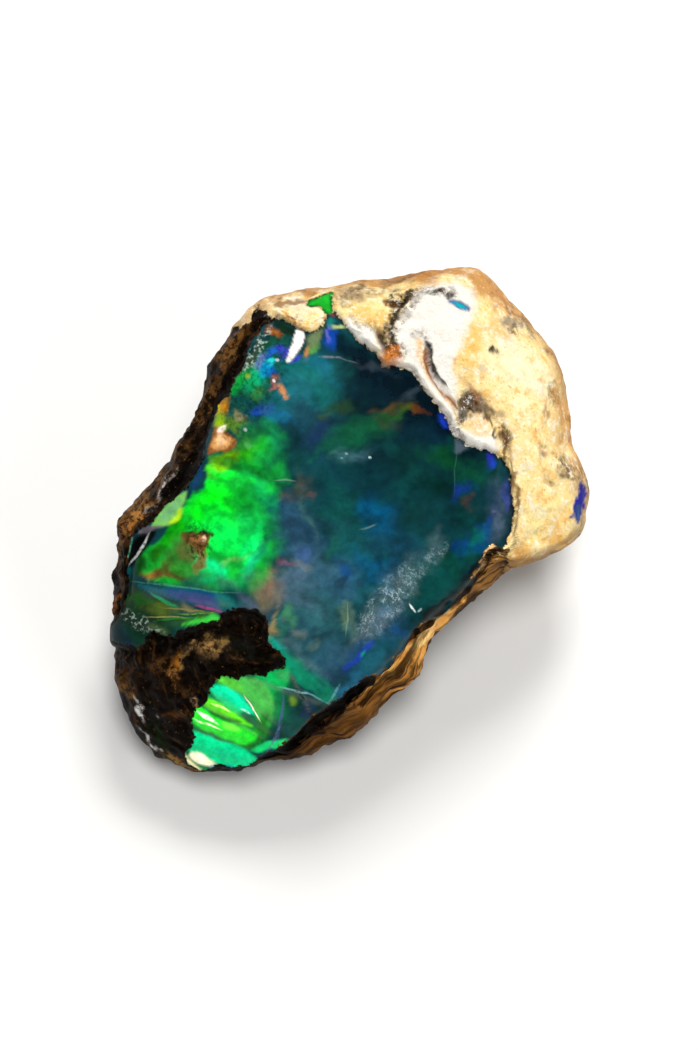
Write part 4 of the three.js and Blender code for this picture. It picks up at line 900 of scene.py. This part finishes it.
# Crevices where crumbs have fallen out, with ragged edges: the black ones are painted shade in them, the
# brown and orange ones the rock's own colour, and the blue ones a blue patch.
CREVICE_SHADE_AND_PATCHES = [
    ("#0c0806", 0.95, 0.12, [(-6.9, 17.6), (-6.4, 17.2), (-6.5, 16.3), (-6.3, 15.4), (-6.2, 14.5),
                             (-5.9, 13.8), (-5.2, 13.3), (-4.9, 12.8), (-5.3, 12.8), (-6.0, 13.3),
                             (-6.6, 13.9), (-6.8, 14.8), (-6.8, 15.7), (-7.2, 16.6)]),
    ("#0e0906", 0.95, 0.12, [(-8.1, 16.4), (-7.6, 16.1), (-6.8, 16.0), (-6.6, 15.7), (-7.4, 15.7),
                             (-8.0, 16.0)]),
    ("#2c1c12", 0.9, 0.12, [(-5.6, 18.6), (-4.9, 18.9), (-4.3, 19.2), (-3.9, 18.9), (-4.2, 18.4),
                            (-4.8, 18.5), (-5.4, 18.2)]),
    ("#0c0806", 0.97, 0.1, [(0.75, 17.4), (1.0, 17.7), (1.3, 17.45), (1.25, 17.15), (1.0, 17.1)]),
    ("#4c443c", 0.8, 0.2, [(1.2, 13.5), (1.9, 13.6), (2.4, 12.9), (2.5, 11.9), (2.2, 11.2), (1.8, 11.6),
                            (1.6, 12.6)]),
    ("#3c2412", 0.9, 0.1, [(2.4, 13.3), (3.4, 13.2), (4.5, 12.7), (5.4, 12.1), (5.3, 11.9), (4.4, 12.4),
                           (3.2, 12.9)]),
    ("#5c3818", 0.85, 0.12, [(5.4, 12.8), (6.2, 12.1), (7.0, 11.2), (6.9, 10.9), (6.0, 11.7), (5.3, 12.3)]),
    ("#7c5434", 0.95, 0.12, [(-6.2, 12.2), (-5.2, 12.4), (-4.4, 12.0), (-4.5, 11.0), (-5.1, 11.0),
                             (-5.6, 11.6)]),
    ("#c8701c", 0.97, 0.12, [(-6.3, 12.6), (-5.4, 13.1), (-4.4, 12.9), (-4.0, 12.1), (-4.6, 11.4),
                             (-5.7, 11.8)]),
    ("#7c4e2c", 0.8, 0.12, [(-14.7, 10.3), (-14.0, 11.3), (-13.0, 12.1), (-12.8, 11.9), (-13.7, 11.0),
                            (-14.3, 10.1)]),
    ("#20208c", 1.0, 0.14, [(12.5, 13.2), (13.2, 13.2), (13.8, 12.3), (14.3, 11.3), (14.3, 10.5),
                            (13.7, 10.6), (13.2, 11.6), (12.8, 12.4)]),
    ("#2c5080", 0.85, 0.25, [(13.5, 11.7), (13.9, 11.6), (14.3, 10.8), (13.9, 10.5)]),
    ("#1c100a", 0.9, 0.1, [(-6.6, 13.0), (-5.8, 13.0), (-5.6, 12.5), (-6.0, 12.2), (-6.5, 12.4)]),
]


def cream_colour(tree, place, laid, broken, weathering):
    """The laid cream, mottled and grainy, with painted shade browned by dirt in its crevices and, where
    weathered, dirt in its pores.
    """
    parts = put(tree, "ShaderNodeSeparateColor", None, {0: laid}).outputs
    pale = between(tree, parts["Red"], 0.3, 0.9)
    golden = sums(tree, "MULTIPLY", pale, between(tree, parts["Blue"], 0.65, 0.4, 0.15, 1.0))
    mottle, _ = grain(tree, place, 0.9, 7.0, 0.68)
    amount = between(tree, mottle, 0.52, 0.66, 0.0, 0.7)
    colour = lay_over(tree, sums(tree, "MULTIPLY", golden, amount), laid, "#f0ac50")
    amount = between(tree, mottle, 0.48, 0.36, 0.0, 0.6)
    colour = lay_over(tree, sums(tree, "MULTIPLY", pale, amount), colour, "#fffae6")
    speck, _ = grain(tree, place, 0.3, 5.0, 0.7)
    amount = between(tree, speck, 0.58, 0.7, 0.0, 0.7)
    colour = lay_over(tree, sums(tree, "MULTIPLY", golden, amount), colour, "#c08440")
    amount = between(tree, speck, 0.44, 0.34, 0.0, 0.6)
    colour = lay_over(tree, sums(tree, "MULTIPLY", pale, amount), colour, "#fffdf2")
    pitted, swirl = grain(tree, place, 0.7, 8.0, 0.78)
    amount = between(tree, pitted, 0.49, 0.37, 0.0, 0.75)
    colour = lay_over(tree, sums(tree, "MULTIPLY", weathering, amount), colour, "#6c4a2c")
    crazing = put(tree, "ShaderNodeTexVoronoi", {"feature": "DISTANCE_TO_EDGE"}, {
        "Vector": moved(tree, "MULTIPLY_ADD", swirl, (1.6, 1.6, 1.6), place), "Scale": 1 / 3.4})
    amount = between(tree, crazing.outputs["Distance"], 0.035, 0.005, 0.0, 0.6)
    colour = lay_over(tree, sums(tree, "MULTIPLY", weathering, amount), colour, "#4a301a")
    # The crevices between crumbs get painted shade, browned by dirt in places; the crumbs' tops are laid
    # pale.
    crumb, _ = grain(tree, place, 0.5, 7.0, 0.8)
    crevice = sums(tree, "MULTIPLY", broken, between(tree, crumb, 0.5, 0.42))
    dirt, _ = grain(tree, place, 1.1, 4.0, 0.7)
    crevice_shade_and_dirt = lay_over(tree, between(tree, dirt, 0.44, 0.58), "#120c08", "#7a5a3a")
    colour = lay_over(tree, sums(tree, "MULTIPLY", crevice, 0.92), colour, crevice_shade_and_dirt)
    return lay_over(tree, sums(tree, "MULTIPLY", broken, between(tree, crumb, 0.55, 0.62)), colour, "#f6f1e8")


# ---------------------------------------------------------------------------------------------
# The skin of the whole stone: all of the above laid on the body, chipped, roughened and set down on
# its flat, with its finish.
face_height = crown + np.where(is_face, window_relief + rim_relief + gaps + outside * matrix_relief, 0)
smooth_outward = mix(np.clip(reach / evened, 0, 1), outward, ease(outward, 0.75, 1.0))
rise = np.sqrt(np.clip(1 - smooth_outward**fullness, 0, 1))
height = np.where(is_face, mix(girdle_height, face_height, rise), mix(girdle_height, BACK_DEPTH, drop))
skin = np.column_stack([x, y, height])

# The old breaks cut the flanks and the back flat, each at a distance that wavers a little.
arm = skin - HEART
wander = 0.6 * (rough(skin, 6.0, 3) - 0.6)
for turn, dip, straight_distance in BREAKS:
    distance = straight_distance + wander
    facing = np.array([math.cos(math.radians(turn)), math.sin(math.radians(turn)),
                       -math.tan(math.radians(dip))])
    facing /= np.linalg.norm(facing)
    overhang = arm @ facing
    cut = np.where(overhang > distance, distance / np.maximum(overhang, 1e-6), 1.0)
    arm *= mix(1.0, cut, below_girdle * BREAK_DEPTH)[:, None]
skin = arm + HEART

stone_mesh.vertices.foreach_set("co", skin.ravel())
stone_mesh.update()
facing_out = np.zeros(point_count * 3)
stone_mesh.vertices.foreach_get("normal", facing_out)
facing_out = facing_out.reshape(-1, 3)

# Shell-shaped chips struck off the bare rock, from the largest to the smallest.
CHIP_RADII = np.linspace(8.0, 1.2, 260)
CHIP_DEPTH = 0.055
bare = np.where(is_face, outside, 1.0)
chip_share = bare * mix(1.0, 0.35, ease(in_cream, -0.6, 0.6) * is_face)
chooser = np.random.default_rng(29)
for radius in CHIP_RADII:
    struck = chooser.integers(point_count)
    centre = skin[struck] + facing_out[struck] * radius * (1 - CHIP_DEPTH)
    apart = skin - centre
    far = np.linalg.norm(apart, axis=1)
    pushed = np.clip(radius - far, 0, None) / np.maximum(far, 1e-6) * chip_share
    skin += apart * pushed[:, None]

# Roughness outside the window, always cut inward so that the stone keeps its size. Depths of coarse and
# fine lumps in mm are for ironstone, for cream on the face and for cream on the flanks.
COARSE_BITES = (0.3, 0.16, 0.34)
FINE_BITES = (0.14, 0.09, 0.15)
FIBRE_BITE = 0.26
PATCH_BITE = 0.18
SEAM = math.radians(20)          # bearing at which distances along the rim start
turned = (bearing - SEAM) % (2 * math.pi)
line_turned = (np.arctan2(girdle_line[:, 1], girdle_line[:, 0]) - SEAM) % (2 * math.pi)
order = np.argsort(line_turned)
rim_line = girdle_line[order, :2]
travelled = np.cumsum(np.hypot(*np.diff(rim_line, axis=0, prepend=rim_line[:1]).T))
rim_run = np.interp(turned, line_turned[order], travelled)
coarse = rough(skin, 4.0, 5, 1.0)
fine = rough(skin, 1.0, 2, 0.8)
strands = rough(np.column_stack([rim_run * 0.1, reach - widest, height - girdle_height]), 0.6, 3, 0.9)
cream_side = ease(in_cream + 0.8 * coarse, -0.6, 0.6)
in_fibres = ease(x, 4.5, 6.5) * ease(-in_cream, -0.5, 0.8)
down_flank = ease(drop, 0, 0.3) * ~is_face
coarse_bite, fine_bite = (mix(ironstone, mix(face, flank, down_flank), cream_side)
                          for ironstone, face, flank in (COARSE_BITES, FINE_BITES))
bite = coarse_bite * (coarse - 0.75)
bite += fine_bite * (fine - 0.5)
bite += FIBRE_BITE * in_fibres * (strands - 0.4) + PATCH_BITE * on_patch * is_face * fine
skin += facing_out * (bare * bite)[:, None]

# The ironstone's colours: rust on the flanks, gold in the fibres, then its stains and painted highlights, and
# painted shade in its gaps.
rust = cloud(0.05 * rim_run, spread_reach - widest + 0.8 * coarse, 1.8, 4, 55)
gold_share = in_fibres * np.where(is_face, 1.0, np.clip(0.75 - 0.35 * drop + 0.6 * coarse, 0, 1))
rock = mix(np.array(tint(IRON_BLACK)), np.array(tint(OLD_GOLD)), gold_share[:, None])
rusty = np.where(is_face, 0, 0.8 * ease(rust, -0.1, 0.9) * (1 - in_fibres))
rock += (np.array(tint("#5c3616")) - rock) * rusty[:, None]
lay_flashes(rock, stirred(1.2, 0.5, 31), IRON_STAINS_AND_HIGHLIGHTS, 0.6)
lay_patches(rock, stirred(0.8, 0.12, 33), IRON_PATCHES_AND_GAP_SHADE)
gap_shade = np.maximum(np.maximum(in_left_gap, in_right_gap), in_inner_gap) * is_face
rock += (np.array(tint("#060403")) - rock) * (0.9 * gap_shade)[:, None]
# The cream's colours: browner where it is weathered, banded on the flanks, with painted shade in its hollows,
# clean and pale on its lip, where painted light also lifts the shade of the wall below, and a painted shadow
# under the ledge.
weathered = np.where(is_face, 0.7 * ease(outward + 0.03 * ragged, 0.95, 1.0), 0.7 + 0.3 * drop)
weathered = np.clip(weathered * (1 + 0.9 * coarse), 0, 1)
cream = mix(np.array(tint("#fde09a")), np.array(tint("#a87c4c")), weathered[:, None])
lay_flashes(cream, stirred(1.1, 0.5, 35), CREAM_STAINS_AND_HIGHLIGHTS, 0.6)
layers = cloud(0.08 * rim_run, spread_reach - widest + 0.6 * coarse, 1.1, 3, 51)
in_layers = np.where(is_face, 0.4 * ease(outward, 0.9, 0.97), 0.7)
cream += (np.array(tint("#7c5430")) - cream) * (in_layers * ease(layers, 0.05, 1.0))[:, None]
lay_patches(cream, stirred(0.7, 0.12, 37), CREAM_PATCHES)
lay_patches(cream, stirred(0.5, 0.22, 49), CREVICE_SHADE_AND_PATCHES)
# Painted shade in the hollows between the crumbled lumps.
shadowed = crumbled * ease(-crumb_height, -0.5, -0.05)
cream += (np.array(tint("#3c2a1a")) - cream) * (0.7 * shadowed)[:, None]
# The lip of the ledge is laid near-white: its pale crumbs, and painted light that lifts the shade on the wall
# below it.
into_rock = -(in_window + 0.2 * ragged)
lip = ease(into_rock, -0.15, 0.0) * ease(-into_rock, -0.9, -0.35) * cream_side
lip *= ease(-x, -6.2, -5.2) * ease(x, -10.0, -9.0) * (1 - np.exp(-np.hypot(x + 5.1, y - 11.9) ** 2))
cream += (np.array(tint("#fffaf0")) - cream) * (0.8 * lip)[:, None]
# Painted shadow under the edge of the ledge, on the cream and on the opal beside it.
ledge_shadow = np.exp(-((ragged_edge - 0.1) / 0.12) ** 2) * cream_side
cream += (np.array(tint("#140d08")) - cream) * (0.85 * ledge_shadow)[:, None]
fire += (np.array(tint("#04090c")) - fire) * (0.85 * ledge_shadow)[:, None]

MILLIMETRE = 0.001
lean_axis = np.array([math.cos(LEAN_BEARING), math.sin(LEAN_BEARING), 0.0])


def lay_down(places):
    """Turns places in the face frame into places on the table."""
    sine, cosine = math.sin(FACE_LEAN), math.cos(FACE_LEAN)
    crossed = np.cross(lean_axis, places)
    along = (places @ lean_axis)[:, None] * lean_axis
    return places * cosine + crossed * sine + along * (1 - cosine) + FACE_CENTRE


# What would reach below the table is drawn back towards the heart of the stone, to the rest flat.
laid = lay_down(skin)
heart = lay_down(HEART[None])[0]
share = np.where(laid[:, 2] < 0, heart[2] / (heart[2] - laid[:, 2]), 1.0)
laid = heart + (laid - heart) * share[:, None]
laid[:, 2] = np.maximum(laid[:, 2], 0)
laid = np.clip(laid * MILLIMETRE, cad_box[0], cad_box[1])
stone_mesh.vertices.foreach_set("co", laid.ravel())
stone_mesh.update()
stone_mesh.shade_smooth()
stone = bpy.data.objects.new("rough_opal_stone", stone_mesh)
bpy.context.scene.collection.objects.link(stone)


def note_on_skin(name, values):
    """Keeps a number, a place or a colour at every point of the skin for the finish to read."""
    kinds = {1: ("FLOAT", "value"), 3: ("FLOAT_VECTOR", "vector"), 4: ("FLOAT_COLOR", "color")}
    kind, field = kinds[values.shape[1] if values.ndim == 2 else 1]
    layer = stone_mesh.attributes.new(name, kind, "POINT")
    layer.data.foreach_set(field, values.ravel().astype(np.float32))


note_on_skin("face_place", skin)
note_on_skin("rim_place", np.column_stack([rim_run, reach - widest, height - girdle_height]))
note_on_skin("in_window", ragged_edge)
note_on_skin("in_cream", in_cream + 0.5 * coarse)
note_on_skin("in_fibres", in_fibres)
note_on_skin("crumbled", crumbled)
note_on_skin("weathered", weathered)
polish = ease(ragged_edge, 0.1, 0.6) * ease(-outward, -0.88, -0.8)
polish *= ease(from_right_gap, 0.4, 1.4)
note_on_skin("polish", polish)
note_on_skin("fire", fire)
note_on_skin("rock", rock)
note_on_skin("cream", cream)

finish = bpy.data.materials.new("opal_and_matrix")
finish.use_nodes = True
tree = finish.node_tree
shader = tree.nodes["Principled BSDF"]


def noted(name, kind="Fac"):
    return put(tree, "ShaderNodeAttribute", {"attribute_name": name}).outputs[kind]


# Which rock shows where, with its colour. Places are passed on as plain vectors.
place = moved(tree, "ADD", noted("face_place", "Vector"), (0, 0, 0))
rim_along = moved(tree, "ADD", noted("rim_place", "Vector"), (0, 0, 0))
nibble, _ = grain(tree, place, 0.35, 4.0)
nibbled = between(tree, nibble, 0.25, 0.75, -0.22, 0.06)
window_share = between(tree, sums(tree, "ADD", noted("in_window"), nibbled), -0.05, 0.05)
cream_edge, _ = grain(tree, place, 1.3, 4.0)
cream_reached = sums(tree, "ADD", noted("in_cream"), between(tree, cream_edge, 0.2, 0.8, -0.9, 0.9))
cream_share = between(tree, cream_reached, -0.15, 0.15)
fibre_share = noted("in_fibres")
dark_rock = ironstone_colour(tree, place, rim_along, noted("rock", "Color"))
fibres = fibre_colour(tree, rim_along, noted("rock", "Color"))
bare_rock = lay_over(tree, fibre_share, dark_rock, fibres)
cream_look = cream_colour(tree, place, noted("cream", "Color"), noted("crumbled"), noted("weathered"))
bare_rock = lay_over(tree, cream_share, bare_rock, cream_look)
colour = lay_over(tree, window_share, bare_rock, opal_colour(tree, place, noted("fire", "Color")))
tree.links.new(colour, shader.inputs["Base Color"])

# Dull pores in the rock, and a wet-looking polish on the window.
pore, _ = grain(tree, place, 0.4, 7.0, 0.75)
polished = between(tree, noted("in_window"), -0.2, 0.1, 1.0, 0.01)
bumpy = put(tree, "ShaderNodeBump", None, {
    "Strength": 1.0, "Distance": 0.0005, "Height": sums(tree, "MULTIPLY", pore, polished)})
tree.links.new(bumpy.outputs[0], shader.inputs["Normal"])
tree.links.new(between(tree, window_share, 0.0, 1.0, 0.6, 0.3), shader.inputs["Roughness"])
tree.links.new(between(tree, noted("polish"), 0.0, 1.0, 0.12, 1.0), shader.inputs["Coat Weight"])
shader.inputs["Specular IOR Level"].default_value = 0.05
shader.inputs["Coat Roughness"].default_value = 0.12
shader.inputs["Coat IOR"].default_value = 1.4
stone_mesh.materials.append(finish)
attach(stone, "root")
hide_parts("rough_opal")


# ---------------------------------------------------------------------------------------------
# The table, the light and the camera.
# A wide pale table under a plain studio sky, with four soft lights. The camera looks straight at the
# window, so across, up_face and out_of_face are the directions that the lights are hung by.
TABLE_RADIUS = 2.5
TABLE_COLOUR = (0.60, 0.595, 0.58, 1)
HORIZON_COLOUR = (0.82, 0.81, 0.80, 1)
ZENITH_COLOUR = (0.035, 0.035, 0.036, 1)
CAMERA_LENS = 130
CAMERA_DISTANCE = 0.29

table_mesh = bpy.data.meshes.new("table")
bmesh_table = bmesh.new()
bmesh.ops.create_circle(bmesh_table, cap_ends=True, segments=96, radius=TABLE_RADIUS)
bmesh_table.to_mesh(table_mesh)
bmesh_table.free()
table = bpy.data.objects.new("table", table_mesh)
bpy.context.scene.collection.objects.link(table)
paint = bpy.data.materials.new("pale_table")
paint.use_nodes = True
paint.node_tree.nodes["Principled BSDF"].inputs["Base Color"].default_value = TABLE_COLOUR
paint.node_tree.nodes["Principled BSDF"].inputs["Roughness"].default_value = 0.8
table_mesh.materials.append(paint)

world = bpy.data.worlds.new("studio")
world.use_nodes = True
sky = world.node_tree
upward = put(sky, "ShaderNodeSeparateXYZ", None, {
    0: put(sky, "ShaderNodeTexCoord").outputs["Generated"]}).outputs["Z"]
dimmed = lay_over(sky, between(sky, upward, 0.02, 0.75), HORIZON_COLOUR, ZENITH_COLOUR)
sky.links.new(dimmed, sky.nodes["Background"].inputs["Color"])
bpy.context.scene.world = world
bpy.context.scene.view_settings.view_transform = "Standard"

across = np.array([math.cos(LEAN_BEARING), math.sin(LEAN_BEARING), 0.0])
out_of_face = np.array([math.sin(LEAN_BEARING) * math.sin(FACE_LEAN),
                        -math.cos(LEAN_BEARING) * math.sin(FACE_LEAN), math.cos(FACE_LEAN)])
up_face = np.cross(out_of_face, across)
aim = lay_down(np.array([[0.0, 0.0, -1.5]]))[0] * MILLIMETRE


def look_at(thing, place, target, up):
    """Stands a light or camera at a place, looking at a target."""
    back = Vector(place - target).normalized()
    right = Vector(up).cross(back).normalized()
    true_up = back.cross(right)
    thing.location = Vector(place)
    thing.rotation_euler = Matrix((right, true_up, back)).transposed().to_euler()


def hang(name, kind, side, up, out):
    """Hangs a light where it shines on the stone from the given side."""
    lamp = bpy.data.lights.new(name, kind)
    holder = bpy.data.objects.new(name, lamp)
    bpy.context.scene.collection.objects.link(holder)
    place = aim + side * across + up * up_face + out * out_of_face
    look_at(holder, place, aim, up_face)
    return holder


def softbox(name, side, up, out, size, power):
    """A small square lamp behind cloth."""
    holder = hang(name, "AREA", side, up, out)
    holder.data.shape = "SQUARE"
    holder.data.size = size
    holder.data.energy = power
    return holder


def ceiling_light(name, side, up, out, spread, power):
    """Even, soft light over the whole table, which leaves no mirrored spot on the polish."""
    holder = hang(name, "SUN", side, up, out)
    holder.data.angle = math.radians(spread)
    holder.data.energy = power
    holder.visible_glossy = False


softbox("key_softbox", 0.06, 0.41, 0.22, 0.15, 2.1).visible_glossy = False
softbox("sheen_softbox", 0.06, 0.41, 0.22, 0.15, 0.4)
ceiling_light("front_ceiling_light", 0.02, 0.14, 0.48, 24, 2.46)
ceiling_light("side_ceiling_light", 0.42, -0.12, 0.36, 30, 1.14)

camera_data = bpy.data.cameras.new("camera")
camera_data.lens = CAMERA_LENS
camera_data.sensor_width = 36
camera_data.clip_start = 0.01
camera = bpy.data.objects.new("camera", camera_data)
bpy.context.scene.collection.objects.link(camera)
look_at(camera, aim + CAMERA_DISTANCE * out_of_face, aim, up_face)
bpy.context.scene.camera = camera
